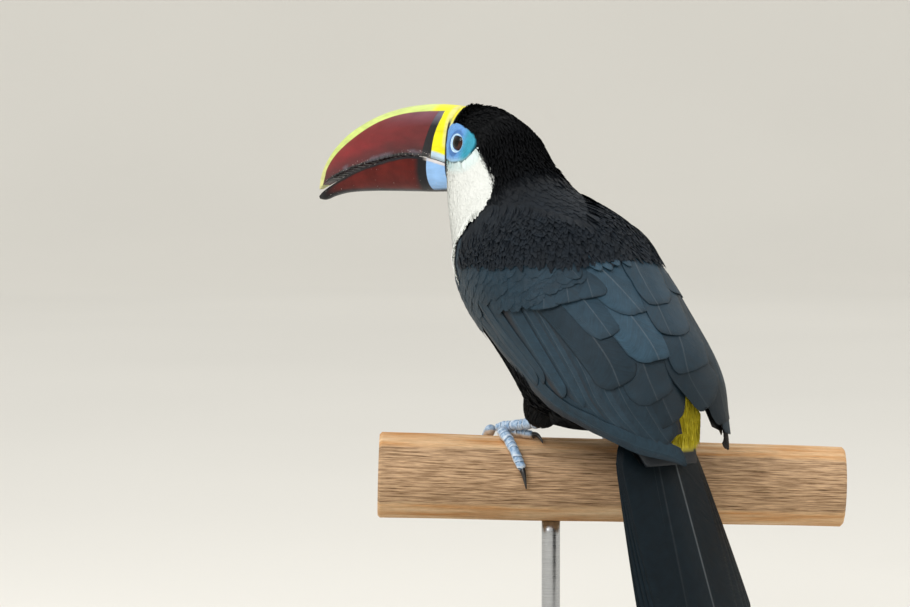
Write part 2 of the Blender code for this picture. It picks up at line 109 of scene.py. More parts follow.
# ---- wings: last sections of the surface that each folded wing lies on ----
WING_START, WING_FIRST = 5.35, 5
WINGS = {
    "left": {
        "sign": 1.0,
        "end": [[-113.0, 66.0, -28.0, 8.0, 54.0, 0.0], [-121.0, 44.0, -55.0, 2.0, 47.0, 0.0],
                [-123.5, 24.0, -82.0, -6.0, 39.0, 0.0], [-125.0, 5.0, -104.0, -12.0, 26.0, 0.0],
                [-125.5, -12.0, -118.0, -16.0, 10.0, 0.0]],
        "inner": [75.0, 56.0, 36.0, 17.0, 7.0, 3.0, 1.0, -3.0, -10.0, -12.0],
        "lower": [98.0, 110.0, 110.0, 107.0, 99.0, 97.0, 98.0, 89.0, 70.0, -6.0],
    },
    "right": {
        "sign": -1.0,
        "end": [[-87.0, 95.5, 4.0, 29.0, 59.5, 0.09], [-113.0, 66.0, -28.0, 8.0, 59.5, 0.02],
                [-121.0, 46.0, -50.0, 2.0, 60.0, 0.0], [-124.0, 28.0, -62.0, -12.0, 57.5, 0.0],
                [-126.0, 12.0, -84.0, -20.0, 53.0, 0.0], [-126.5, 0.0, -98.5, -12.0, 49.0, 0.0]],
        "inner": [75.0, 56.0, 36.0, 17.0, 7.0, 3.0, 7.0, 23.0, 41.0, 60.0],
        "lower": [98.0, 110.0, 110.0, 107.0, 99.0, 97.0, 92.0, 78.0, 67.0, 63.0],
    },
}

# ---- tail ----
TAIL_ROOT = (-106.5, 2.0)
TAIL_LENGTH, TAIL_LEAN, TAIL_SIDE = 134.0, 19.5, 1.0
TAIL_ROOT_HALF, TAIL_END_HALF, TAIL_ROOF, TAIL_ROUND = 34.0, 51.0, 9.0, 15.0

# ---- bill ----
CULMEN = np.array([
    [85.4, 214.8], [109.0, 216.3], [129.0, 215.8], [148.0, 213.9], [170.0, 209.6],
    [189.0, 203.9], [208.0, 195.9], [223.0, 186.5], [233.0, 177.6], [239.5, 169.0], [242.6, 160.5]])
UPPER_EDGE = np.array([
    [85.4, 177.2], [101.0, 180.2], [121.0, 182.0], [144.0, 180.8], [162.0, 178.3],
    [180.0, 175.4], [198.0, 171.8], [214.0, 167.8], [227.0, 163.6], [236.0, 160.0], [242.2, 157.0]])
LOWER_EDGE = np.array([
    [85.4, 176.7], [101.0, 179.7], [121.0, 181.4], [144.0, 179.9], [162.0, 176.8],
    [180.0, 173.2], [198.0, 168.6], [213.0, 164.0], [226.0, 159.6], [236.0, 155.6], [242.6, 152.4]])
GONYS = np.array([
    [85.4, 159.3], [98.0, 158.2], [115.0, 157.5], [135.0, 157.4], [155.0, 157.3],
    [175.0, 157.1], [195.0, 156.4], [212.0, 155.2], [226.0, 152.7], [236.0, 149.9], [242.4, 150.2]])
BILL_HALF_WIDTH = np.array([17.4, 16.8, 15.4, 14.0, 12.3, 10.6, 8.7, 6.7, 4.7, 3.2, 1.5])
BILL_FULLNESS = 0.78
# lower border of the yellow stripe along the culmen (forward, height), tip first
STRIPE = np.array([
    [238.0, 157.0], [233.0, 166.0], [230.0, 171.7], [220.0, 180.3], [205.0, 188.9],
    [183.0, 198.8], [164.0, 205.1], [143.0, 209.3], [120.0, 211.3], [85.0, 212.0]])

# ---- bare skin round the eye: its reach at every 30 degrees, from forward over the top ----
ORBIT = np.array([18.5, 19.5, 15.5, 12.3, 12.0, 15.5, 21.5, 19.0, 14.0, 12.5, 13.5, 17.5])
LID_REACH, LID_FORWARD, LID_SLANT = 5.9, 65.9, 0.30
FOREHEAD = 0.32              # section where the crown's feathers start; the horn before it is bare

# ---- perch, feet and stand ----
PERCH_TURN, PERCH_SLOPE = 40.0, 1.55
PERCH_RADIUS, PERCH_TAPER = 27.4, -0.0066
PERCH_LEFT, PERCH_RIGHT = -112.0, 190.0
FEET = {
    "left": {"at": -36.0, "heel": (18.0, -7.0, 11.0), "hip": (27.0, -36.0, 45.0)},
    "right": {"at": 44.0, "heel": (-30.0, -56.0, 8.0), "hip": (-35.0, -58.0, 40.0)},
}
TOES = {
    "left": {1: (23.0, 17.0, 3.3), 2: (7.0, -62.0, 3.4), 3: (-9.0, -80.0, 3.6), 4: (16.5, 74.0, 3.6)},
    "right": {1: (7.0, 62.0, 3.3), 2: (-10.0, -58.0, 3.4), 3: (7.0, -82.0, 3.6), 4: (27.0, 30.0, 3.6)},
}
TOE_START, FRONT_TOE_SPREAD, TOE_BALL, TARSUS_RADIUS, GAP = 7.4, 0.5, 4.6, 3.9, 0.3
CLAW_LENGTH, CLAW_RADIUS, CLAW_START = 10.0, 2.1, 1.1
THIGH_HIP_RADIUS, THIGH_HEEL_RADIUS = 20.0, 10.0


# ---- numbers and colours ----
def srgb(text, alpha=1.0):
    """Linear colour of an sRGB hex value."""
    parts = np.array([int(text[i:i + 2], 16) for i in (1, 3, 5)]) / 255
    linear = np.where(parts <= 0.04045, parts / 12.92, ((parts + 0.055) / 1.055) ** 2.4)
    return (*[float(part) for part in linear], alpha)


def smooth(low, high, value):
    """0 below low, 1 above high, and an S-shaped step between them (3x^2 - 2x^3)."""
    x = np.clip((np.asarray(value, float) - low) / (high - low), 0, 1)
    return x * x * (3 - 2 * x)


def blend(first, second, share):
    """Colours between first and second; share is one number for each colour."""
    share = np.asarray(share, float)[..., None]
    return np.asarray(first, float)[..., :3] * (1 - share) + np.asarray(second, float)[..., :3] * share


def curve(knots, t):
    """Smooth curve through the rows of knots; t counts them from 0 (Catmull-Rom)."""
    knots = np.asarray(knots, float)
    t = np.asarray(t, float)
    last = len(knots) - 1
    padded = np.concatenate([2 * knots[:1] - knots[1:2], knots, 2 * knots[-1:] - knots[-2:-1]])
    i = np.clip(t.astype(int), 0, last - 1)
    s = (t - i).reshape(t.shape + (1,) * (knots.ndim - 1))
    a, b, c, d = padded[i], padded[i + 1], padded[i + 2], padded[i + 3]
    return 0.5 * (2 * b + (c - a) * s + (2 * a - 5 * b + 4 * c - d) * s**2 + (3 * b - a - 3 * c + d) * s**3)


def full_turn(count, start=0.0):
    """Even angles of one full turn from start, in radians, as one row of count."""
    return np.linspace(start, start + 2 * np.pi, count, endpoint=False)[None, :]


def unit(vectors):
    """Vectors of the same directions and length 1."""
    return vectors / np.maximum(np.linalg.norm(vectors, axis=-1, keepdims=True), 1e-12)


def world(side, forward, height):
    """World points, in metres, of millimetres in the bird's own directions."""
    side, forward, height = np.broadcast_arrays(side, forward, height)
    return ORIGIN + np.stack([side, -forward, height], axis=-1) * MM


def bird(points):
    """side, forward and height, in millimetres, of world points."""
    own = (np.asarray(points) - ORIGIN) / MM
    return own[..., 0], -own[..., 1], own[..., 2]


def running(steps):
    """Sums of the steps so far, from 0."""
    return np.concatenate([[0.0], np.cumsum(steps)])


def plain(colour, count):
    """The same colour, red, green and blue, in count rows."""
    return np.tile(np.array(colour)[:3], (count, 1))


# ---- surfaces ----
def loft(table, u, angle, lift):
    """Point at section u and angle from the back line, lift millimetres outside the surface.

    A section is an ellipse between its back and belly points: middle + half * cos(angle),
    with side = half-width * sin(angle), made egg-shaped by its last value.
    """
    row = curve(table, u)
    middle = (row[..., 0:2] + row[..., 2:4]) / 2
    half = (row[..., 0:2] - row[..., 2:4]) / 2
    reach = 1 + lift / np.linalg.norm(half, axis=-1)
    forward = middle[..., 0] + half[..., 0] * reach * np.cos(angle)
    height = middle[..., 1] + half[..., 1] * reach * np.cos(angle)
    side = (row[..., 4] + lift) * np.sin(angle) * (1 + row[..., 5] * np.cos(angle))
    return world(side, forward, height)


def body(u, angle, lift):
    """The body's outline, from the bill base to the tail coverts."""
    return loft(BODY, u, angle, lift)


def wing(side):
    """Outer surface of a folded wing, as a function of span, chord and lift.

    Span runs 0..1 from the shoulder to the tip and chord 0..1 from the inner to the lower
    edge.  The plate swells as sin(pi * chord)^0.6 and flattens towards the tip.
    """
    shape = WINGS[side]
    table = np.concatenate([BODY[WING_FIRST:len(BODY) - len(shape["end"])], shape["end"]])
    start, last = WING_START - WING_FIRST, len(table) - 1
    edge_angles = np.column_stack([shape["inner"], shape["lower"]])

    def surface(span, chord, lift):
        span, chord, lift = np.broadcast_arrays(np.asarray(span, float), chord, lift)
        within = np.clip(span, 0, 1)
        u = start + span * (last - start)
        edges = curve(edge_angles, u)
        middle = edges.mean(axis=-1)
        shoulder = 0.35 + 0.65 * np.sqrt(np.clip(within / 0.10, 0, 1))
        across = edges[..., 0] + (edges[..., 1] - edges[..., 0]) * chord
        angle = np.radians(middle + (across - middle) * shoulder)
        swell = np.sin(np.pi * np.clip(chord, 0, 1)) ** 0.6
        rise = 0.35 + 0.65 * np.clip(within / 0.25, 0, 1)
        plate = 1.2 + 4.2 * swell * (1 - 0.55 * within) * rise
        return loft(table, u, shape["sign"] * angle, plate + lift)

    return surface


def tail(along, across, lift):
    """Upper surface of the closed tail: a shallow roof, along 0..1 and across -1..1."""
    along, across, lift = np.broadcast_arrays(np.asarray(along, float), across, lift)
    lean = math.radians(TAIL_LEAN)
    length = along * (TAIL_LENGTH - TAIL_ROUND * across**2)
    half = TAIL_ROOT_HALF + (TAIL_END_HALF - TAIL_ROOT_HALF) * np.clip(along, 0, 2) ** 0.8
    below = TAIL_ROOF * np.abs(across) ** 1.5 - lift
    forward = TAIL_ROOT[0] - length * math.sin(lean) + below * math.cos(lean)
    height = TAIL_ROOT[1] - length * math.cos(lean) - below * math.sin(lean)
    return world(TAIL_SIDE + across * half, forward, height)


def thigh(side):
    """Feathered thigh, as a function of step -1..1 from hip to heel, angle and lift."""
    hip, heel = (world(*FEET[side][end]) for end in ("hip", "heel"))
    lengthwise = unit(heel - hip)
    across = unit(np.cross(lengthwise, (0.0, 0.0, 1.0)))
    upward = np.cross(across, lengthwise)

    def surface(step, angle, lift):
        step, angle, lift = np.broadcast_arrays(np.asarray(step, float), angle, lift)
        share = 0.5 + step / 2
        radius = THIGH_HIP_RADIUS + (THIGH_HEEL_RADIUS - THIGH_HIP_RADIUS) * share
        rounding = np.clip(1 - np.abs(step) ** 6, 0.05, 1) ** 0.5
        spoke = np.cos(angle)[..., None] * across - np.sin(angle)[..., None] * upward
        centre = hip + (heel - hip) * share[..., None]
        return centre + (radius * rounding + lift)[..., None] * MM * spoke

    return surface


def perch_axis():
    """Direction of the perch, from its left-hand to its right-hand end."""
    turn, slope = math.radians(PERCH_TURN), math.radians(PERCH_SLOPE)
    flat = math.cos(slope)
    return np.array([-flat * math.cos(turn), flat * math.sin(turn), -math.sin(slope)])


def perch(along, turn, lift):
    """Bark: along in millimetres from the rod, turn in radians from the top to the tail side."""
    along, turn, lift = np.broadcast_arrays(np.asarray(along, float), turn, lift)
    axis = perch_axis()
    back = unit(np.cross(axis, (0.0, 0.0, 1.0)))
    upward = np.cross(back, axis)
    reach = PERCH_RADIUS + PERCH_TAPER * along + lift
    spoke = np.cos(turn)[..., None] * upward + np.sin(turn)[..., None] * back
    return world(0.0, 0.0, -PERCH_RADIUS) + MM * (along[..., None] * axis + reach[..., None] * spoke)


# ---- meshes ----
def grid_faces(rows, columns, closed=False):
    """Quads of a grid of points, row by row; closed joins the last column to the first."""
    i = np.arange(rows - 1)[:, None]
    j = np.arange(columns if closed else columns - 1)[None, :]
    k = (j + 1) % columns
    faces = np.stack([i * columns + j, i * columns + k, (i + 1) * columns + k, (i + 1) * columns + j], -1)
    return faces.reshape(-1, 4)


def join(parts):
    """Join (points, faces, values) parts into one; values are arrays with a row per point."""
    points = np.concatenate([part[0].reshape(-1, 3) for part in parts])
    counts = np.cumsum([0] + [part[0].reshape(-1, 3).shape[0] for part in parts])
    faces = np.concatenate([part[1] + start for part, start in zip(parts, counts)])
    names = parts[0][2]
    values = {name: np.concatenate([part[2][name] for part in parts]) for name in names}
    return points, faces, values


def add_piece(name, points, faces, values, finish, slot, replaced=()):
    """Make one named object from arrays and let it ride on the body.

    values holds a row per point: three columns make a colour, two make a UV map, one a number.
    """
    mesh = bpy.data.meshes.new(name)
    points = np.asarray(points, np.float32).reshape(-1, 3)
    mesh.vertices.add(len(points))
    mesh.vertices.foreach_set("co", points.ravel())
    mesh.loops.add(faces.size)
    mesh.loops.foreach_set("vertex_index", faces.astype(np.int32).ravel())
    mesh.polygons.add(len(faces))
    mesh.polygons.foreach_set("loop_start", np.arange(0, faces.size, faces.shape[1], dtype=np.int32))
    mesh.update(calc_edges=True)
    for value, rows in values.items():
        rows = np.asarray(rows, np.float32).reshape(len(points), -1)
        if rows.shape[1] == 3:
            layer = mesh.color_attributes.new(value, "FLOAT_COLOR", "POINT")
            colours = np.concatenate([rows, np.ones((len(rows), 1), np.float32)], axis=1)
            layer.data.foreach_set("color", colours.ravel())
        elif rows.shape[1] == 2:
            layer = mesh.uv_layers.new(name=value)
            layer.uv.foreach_set("vector", rows[faces.ravel()].ravel())
        else:
            layer = mesh.attributes.new(value, "FLOAT", "POINT")
            layer.data.foreach_set("value", rows.ravel())
    mesh.validate()
    mesh.shade_smooth()
    mesh.materials.append(finish)
    piece = bpy.data.objects.new(name, mesh)
    bpy.context.scene.collection.objects.link(piece)
    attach(piece, "root")
    if replaced:
        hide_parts(*replaced)
    return piece


def capped_tube(rings):
    """Points and quads of a tube round rings (rows, columns, 3), its ends drawn in to a point."""
    ends = [np.broadcast_to(rings[i].mean(axis=0), rings[i].shape) for i in (0, -1)]
    inner = [ends[k] * 0.999 + rings[i] * 0.001 for k, i in ((0, 0), (1, -1))]
    rows = np.concatenate([inner[0][None], rings, inner[1][None]])
    return rows.reshape(-1, 3), grid_faces(len(rows), rings.shape[1], closed=True)


# ---- plumage: where vanes grow and how they lie ----
def tangents(surface, a, b, lift, step=1e-3):
    """Unit lengthwise and crosswise tangents, and the metres for one unit of a and of b."""
    here = surface(a, b, lift)
    by_a = (surface(a + step, b, lift) - here) / step
    by_b = (surface(a, b + step, lift) - here) / step
    lengthwise = unit(by_a)
    slant = np.sum(by_b * lengthwise, axis=-1)
    crosswise = unit(by_b - slant[..., None] * lengthwise)
    return here, lengthwise, crosswise, np.linalg.norm(by_a, axis=-1), slant, np.sum(by_b * crosswise, -1)


def scatter(surface, a_range, b_range, along, across, seed):
    """Staggered roots over a stretch of a surface, about along x across millimetres apart.

    Rows of constant a lie along millimetres apart where they are furthest from each other;
    in a row, roots are evenly spaced by length, every second row half a step over, and all
    are moved a little at random.  Where rows run closer, roots are thinned out evenly.
    """
    rng = np.random.default_rng(seed)
    a = np.linspace(*a_range, 80)
    b = np.linspace(*b_range, 161)
    grid = surface(a[:, None], b[None, :], 0.0) / MM
    gaps = np.linalg.norm(np.diff(grid, axis=0), axis=-1)
    lengths = running(gaps.max(axis=1))
    rows = max(int(lengths[-1] / along), 1)
    row_a = np.interp((np.arange(rows) + 0.5) / rows * lengths[-1], lengths, a)
    found_a, found_b = [], []
    for i, place in enumerate(row_a):
        line = surface(place, b, 0.0) / MM
        steps = running(np.linalg.norm(np.diff(line, axis=0), axis=-1))
        count = max(int(steps[-1] / across), 1)
        at = (np.arange(count) + 0.25 + 0.5 * (i % 2)) / count * steps[-1]
        at += rng.uniform(-0.3, 0.3, count) * across
        row_b = np.interp(at, steps, b)
        k = min(int(np.searchsorted(a, place)), len(a) - 2)
        density = np.interp(row_b, b, gaps[k] / gaps[k].max())
        kept = rng.uniform(0, 1, count) < np.clip(density * 1.15, 0, 1)
        found_b.append(row_b[kept])
        found_a.append(np.full(kept.sum(), place) + rng.uniform(-0.3, 0.3, kept.sum())
                       * (a_range[1] - a_range[0]) / rows)
    return np.concatenate(found_a), np.concatenate(found_b)


def per_vane(count, *values):
    """Each value, one number or a row of count, shaped to go with (count, rows, columns)."""
    return [np.broadcast_to(value, (count,))[:, None, None] for value in values]


def face_out(points, s, w, crosswise, lengthwise, outward):
    """Turn vanes whose faces would point inward; s and w are given the points' shape."""
    if np.sum(np.cross(crosswise, lengthwise) * outward) < 0:
        points, w = points[:, :, ::-1], w[:, :, ::-1]
    return points, np.broadcast_to(s, points.shape[:3]), np.broadcast_to(w, points.shape[:3])


def lay_vanes(surface, a, b, length, width, lift, seed, turn=0.0, rows=4, columns=5,
              rounding=0.35, fray=0.10, camber=0.25, spread=0.5, droop=0.0, narrow=0.0, ruffle=0.12):
    """Small feathers on a surface: returns points (count, rows, columns, 3), s and w.

    A vane's length is cut back by rounding * |w|^2.2 at its sides and by a random fray in
    each column, its width opens from spread to 1 over its first half, and it rises from
    lift[0] at the root to lift[1] at the tip as s^0.8, its middle higher by camber.  narrow
    draws the sides in towards the tip as s^2, droop lets it hang by as many millimetres, and
    ruffle is how much the tips' heights differ.
    """
    rng = np.random.default_rng(seed)
    count = len(a)
    s = np.linspace(0, 1, rows)[None, :, None]
    w = np.linspace(-1, 1, columns)[None, None, :]
    length, width, turn, droop, low, high = per_vane(count, length, width, turn, droop, *lift)
    high = high + rng.normal(0, ruffle, (count, 1, 1))
    reach = s * (1 - rounding * np.abs(w) ** 2.2 + rng.uniform(-fray, fray, (count, 1, columns)))
    along = length * reach
    across = width / 2 * w * (spread + (1 - spread) * np.sin(np.pi / 2 * np.clip(s / 0.6, 0, 1)))
    across = across * (1 - narrow * s**2)
    turn = turn + rng.normal(0, 0.06, (count, 1, 1))
    ahead = along * np.cos(turn) - across * np.sin(turn)
    aside = along * np.sin(turn) + across * np.cos(turn)
    _, lengthwise, crosswise, size_a, slant, size_b = tangents(surface, a, b, 0.0)
    step_b = aside * MM / size_b[:, None, None]
    step_a = (ahead * MM - step_b * slant[:, None, None]) / size_a[:, None, None]
    rise = low + (high - low) * s**0.8 + camber * (1 - w**2) * np.sin(np.pi * s * 0.8)
    points = surface(a[:, None, None] + step_a, b[:, None, None] + step_b, rise)
    points[..., 2] -= (droop * s**2) * MM
    return face_out(points, s, w, crosswise, lengthwise, surface(a, b, 1.0) - surface(a, b, 0.0))


def lay_quills(surface, root, tip, width, lift, seed, rows=24, bow=0.0, rounding=0.10,
               point=2.4, lean=0.0, shaft=0.35, curl=0.6, fray=0.006):
    """Large feathers, each along a bowed line from root to tip, both as rows of (a, b).

    Half-width opens within the first fifth and keeps; the end is cut back by rounding *
    |w|^point.  lean moves the shaft off the middle, shaft is the ridge's height and curl how
    far the margins sink.
    """
    rng = np.random.default_rng(seed)
    root, tip = np.asarray(root, float), np.asarray(tip, float)
    count = len(root)
    half = np.array([0.04, 0.14, 0.34, 0.56, 0.78, 0.92, 1.0])
    w = np.concatenate([-half[::-1], [0.0], half])[None, None, :]
    s = (1 - (1 - np.linspace(0, 1, rows)) ** 1.6)[None, :, None]
    fray_by_column = rng.uniform(-fray, fray, (count, 1, w.size)) * np.abs(w) ** 0.5
    reach = s * (1 - rounding * np.abs(w) ** point + fray_by_column)
    bow, width, lean, low, high = per_vane(count, bow, width, lean, *lift)

    def centre(share):
        a = root[:, 0, None, None] + (tip[:, 0] - root[:, 0])[:, None, None] * share
        b = root[:, 1, None, None] + (tip[:, 1] - root[:, 1])[:, None, None] * share
        return a, b + bow * np.sin(np.pi * share), low + (high - low) * share

    a, b, rise = centre(reach)
    middle, lengthwise, crosswise, size_a, slant, size_b = tangents(surface, a, b, rise)
    ahead = unit(surface(*centre(reach + 1e-3)) - middle)
    cosine, sine = np.sum(ahead * lengthwise, axis=-1), np.sum(ahead * crosswise, axis=-1)
    opening = np.sin(np.pi / 2 * np.clip(s / 0.22, 0, 1)) * 0.7 + 0.3
    narrowing = 1 - 0.18 * s**3
    offset = width / 2 * opening * narrowing * (w + lean * (1 - w**2)) * MM
    step_b = offset * cosine / size_b
    step_a = (-offset * sine - step_b * slant) / size_a
    ridge = shaft * np.exp(-(w / 0.03) ** 2) * (1 - 0.6 * s)
    points = surface(a + step_a, b + step_b, rise + ridge - curl * w**2)
    return face_out(points, s, w, crosswise, lengthwise, surface(a, b, rise + 1.0) - middle)


def vane_part(points, s, w, colour, home, width, length, patch=0.003):
    """Points, faces and values of laid vanes; colour has a row per point, home per vane.

    The map OFBake gives each vane one patch at its root's place on the surface's unwrap,
    and the map vane holds millimetres across and along the vane, for its barbs.
    """
    count, rows, columns = s.shape
    one = grid_faces(rows, columns)
    starts = (np.arange(count) * rows * columns)[:, None, None]
    faces = (one[None] + starts).reshape(-1, 4)
    spot = np.stack([w / 2, s - 0.5], axis=-1) * patch
    bake = home[:, None, None, :] + spot
    size = np.broadcast_to(np.asarray(width, float).reshape(-1, 1, 1), s.shape)
    reach = np.broadcast_to(np.asarray(length, float).reshape(-1, 1, 1), s.shape)
    barbs = np.stack([w * size / 2, s * reach], axis=-1) * MM
    values = {
        "plumage": np.clip(colour, 0, 1).reshape(-1, 3),
        "OFBake": bake.reshape(-1, 2),
        "vane": barbs.reshape(-1, 2),
    }
    return points.reshape(-1, 3), faces, values


def shade_vanes(base, s, w, seed, spread=0.12, root=0.55, rim=1.10):
    """Colour of each point from one base colour per vane.

    Vanes differ at random by spread; root is painted shade, darkening them towards the root
    where others cover them, and rim a painted highlight, lightening them along the free edge.
    """
    rng = np.random.default_rng(seed)
    light = rng.normal(1.0, spread, (len(base), 1, 1))
    edge = np.clip(np.maximum(s, np.abs(w) * s), 0, 1)
    # painted shade towards the covered root and painted highlight along the free edge
    tone = light * (root + (1 - root) * smooth(0.1, 0.6, s)) * (1 + (rim - 1) * smooth(0.75, 1.0, edge))
    return base[:, None, None, :] * tone[..., None]


# ---- markings ----
def orbit_reach(forward, height):
    """Distance from the eye, as a share of the bare skin's reach in that direction."""
    dx, dz = forward - EYE_FORWARD, height - EYE_HEIGHT
    turn = np.degrees(np.arctan2(dz, dx)) % 360
    knots = np.concatenate([ORBIT[-1:], ORBIT, ORBIT[:2]])
    return np.hypot(dx, dz) / curve(knots[:, None], turn / 30 + 1)[..., 0]


def bare(points):
    """1 on the bare skin round the eyes and 0 off it."""
    side, forward, height = bird(points)
    return smooth(1.04, 0.97, orbit_reach(forward, height)) * smooth(6, 9, np.abs(side))


def orbit_colour(points, settings):
    """Blue skin that turns to cyan behind the eye and pales towards the bib."""
    _, forward, height = bird(points)
    back = smooth(-5, -15, forward - EYE_FORWARD)
    low = smooth(-8, -15, height - EYE_HEIGHT)
    tone = blend(settings.orbit_blue, settings.orbit_cyan, back)
    reach = np.hypot(forward - EYE_FORWARD, height - EYE_HEIGHT)
    tone = blend(tone, settings.orbit_deep, 0.75 * smooth(9.4, 8.4, reach))
    return blend(tone, settings.orbit_pale, low * 0.8)


def bib_border(u, turn):
    """Degrees from the back line at which the bib starts, and the section at which it ends."""
    edge = np.interp(u, [0, 3.0, 3.7, 4.3, 4.95, 5.2, 5.44, 5.56, 5.63, 5.66, 6.0, 6.32],
                     [75, 73, 55.5, 51.5, 47.5, 50, 57, 66, 77, 98, 107.5, 115])
    return edge, np.interp(turn, [50, 100, 107, 115, 180], [5.95, 6.05, 6.2, 6.45, 6.55])


def body_colour(points, u, angle, settings):
    """The plumage's markings at places on the body.

    White bib from the bill to the breast, a red band under it, yellow over the tail's root,
    red under it, and black elsewhere, bluer on the mantle as painted sheen; the culmen's horn
    runs a little way up the forehead.
    """
    turn = np.abs(np.degrees((angle + np.pi) % (2 * np.pi) - np.pi))
    _, forward, height = bird(points)
    bib_edge, bib_end = bib_border(u, turn)
    bib = smooth(-1.5, 1.5, turn - bib_edge) * smooth(0.05, -0.05, u - bib_end)
    below = u - bib_end
    band = smooth(118, 132, turn) * smooth(-0.06, 0.06, below) * smooth(0.10, -0.10, below - 0.45)
    start = np.interp(turn, [0, 40, 80, 110], [11.25, 11.3, 12.05, 12.3])
    ending = np.interp(turn, [45, 76, 92], [13.05, 12.8, 12.2])
    over_tail = smooth(-0.1, 0.12, u - start) * smooth(0.04, -0.04, u - ending) * smooth(100, 94, turn)
    under_tail = smooth(12.0, 12.3, u) * smooth(0.10, -0.10, u - 13.0) * smooth(118, 130, turn)
    flush = smooth(86, 96, turn) + smooth(11.55, 11.3, u) * smooth(25, 34, turn)
    # painted sheen: the mantle's black is bluer
    colour = blend(settings.black, settings.mantle, smooth(5.0, 6.4, u) * smooth(115, 80, turn))
    colour = blend(colour, settings.white, bib)
    near_orbit = smooth(1.6, 1.0, orbit_reach(forward, height))
    colour = blend(colour, settings.orbit_pale, bib * near_orbit * 0.8)
    colour = blend(colour, settings.red, band)
    yellow = blend(settings.yellow, settings.orange, np.clip(flush, 0, 1) * 0.8)
    colour = blend(colour, yellow, over_tail)
    horn = blend(settings.horn, settings.pale_horn, 0.75 * smooth(207, 203, height))
    colour = blend(colour, horn, smooth(FOREHEAD + 0.06, FOREHEAD, u) * smooth(66, 58, turn))
    return blend(colour, settings.red, under_tail)


# ---- materials ----
MIDDLE = {"From_Min": 0.3, "From_Max": 0.7}      # where most of a noise's values lie
TINT = {"blend_type": "MULTIPLY"}
MULTIPLY = {"operation": "MULTIPLY"}
MULTIPLY_ADD = {"operation": "MULTIPLY_ADD"}


def wire(tree, made, **inputs):
    """Set a node's inputs, each named as its socket (with _ for a space) or in<number>.

    A value that is a node or a socket is linked; any other is set on the socket itself.
    """
    for name, value in inputs.items():
        by_number = name.startswith("in") and name[2:].isdigit()
        socket = made.inputs[int(name[2:]) if by_number else name.replace("_", " ")]
        if isinstance(value, bpy.types.Node):
            tree.links.new(value.outputs[0], socket)
        elif isinstance(value, bpy.types.NodeSocket):
            tree.links.new(value, socket)
        else:
            socket.default_value = value


def node(tree, kind, settings=None, **inputs):
    """Add a shader node with its settings and inputs; stops are a ramp's (place, colour) pairs."""
    made = tree.nodes.new("ShaderNode" + kind)
    for name, value in (settings or {}).items():
        if name == "stops":
            ramp = made.color_ramp.elements
            while len(ramp) < len(value):
                ramp.new(0.5)
            for stop, (place, colour) in zip(ramp, value):
                stop.position = place
                stop.color = colour
        else:
            setattr(made, name, value)
    wire(tree, made, **inputs)
    return made


def new_material(name):
    """An empty material with its Principled shader: returns material, tree and shader."""
    made = bpy.data.materials.new(name)
    made.use_nodes = True
    return made, made.node_tree, made.node_tree.nodes["Principled BSDF"]


def plumage(name, roughness, shine, barb, relief, streaks, mottle=0.2):
    """Feather vanes: keratin barbs that hook together into a soft, satin sheet.

    Barbs slant from the shaft to the edge; drawn barb millimetres apart, coarser than the
    real ones, so that they show, as relief and as streaks of tone.  The colour is the
    markings', mottled a little; shine is the share of the usual reflection.
    """
    made, tree, shader = new_material(name)
    colour = node(tree, "Attribute", {"attribute_name": "plumage"})
    place = node(tree, "TexCoord").outputs["Object"]
    own = node(tree, "UVMap", {"uv_map": "vane"})
    parts = node(tree, "SeparateXYZ", Vector=own)
    outwards = node(tree, "Math", {"operation": "ABSOLUTE"}, in0=parts)
    slant = node(tree, "Math", MULTIPLY_ADD, in0=outwards, in1=-1.1, in2=parts.outputs[1])
    here = node(tree, "VectorMath", {"operation": "DOT_PRODUCT"}, in0=place, in1=(30.0, 40.0, 35.0))
    stretched = node(tree, "CombineXYZ", X=slant, Y=outwards, Z=here.outputs["Value"])
    lengthened = node(tree, "Mapping", Vector=stretched, Scale=(0.7 / (barb * MM), 0.08 / (barb * MM), 1.0))
    barbs = node(tree, "TexNoise", Vector=lengthened, Scale=1.0, Detail=3.0)
    cloud = node(tree, "TexNoise", Vector=place, Scale=160.0, Detail=3.0)
    streaked = node(tree, "MapRange", Value=barbs, **MIDDLE, To_Min=1 - streaks, To_Max=1 + streaks)
    clouded = node(tree, "MapRange", Value=cloud, **MIDDLE, To_Min=1 - mottle, To_Max=1 + mottle)
    tone = node(tree, "Math", MULTIPLY, in0=streaked, in1=clouded)
    tinted = node(tree, "MixRGB", TINT, Fac=1.0, Color1=colour, Color2=tone)
    phase = node(tree, "Math", MULTIPLY, in0=slant, in1=2 * math.pi / (barb * MM))
    wave = node(tree, "Math", {"operation": "SINE"}, in0=phase)
    height = node(tree, "Math", MULTIPLY_ADD, in0=barbs, in1=3.0, in2=wave)
    bump = node(tree, "Bump", Strength=relief, Distance=0.00012, Height=height)
    gloss = node(tree, "MapRange", Value=barbs, **MIDDLE, To_Min=roughness - 0.06, To_Max=roughness + 0.08)
    wire(tree, shader, Base_Color=tinted, Normal=bump, Roughness=gloss, Specular_IOR_Level=0.5 * shine)
    return made


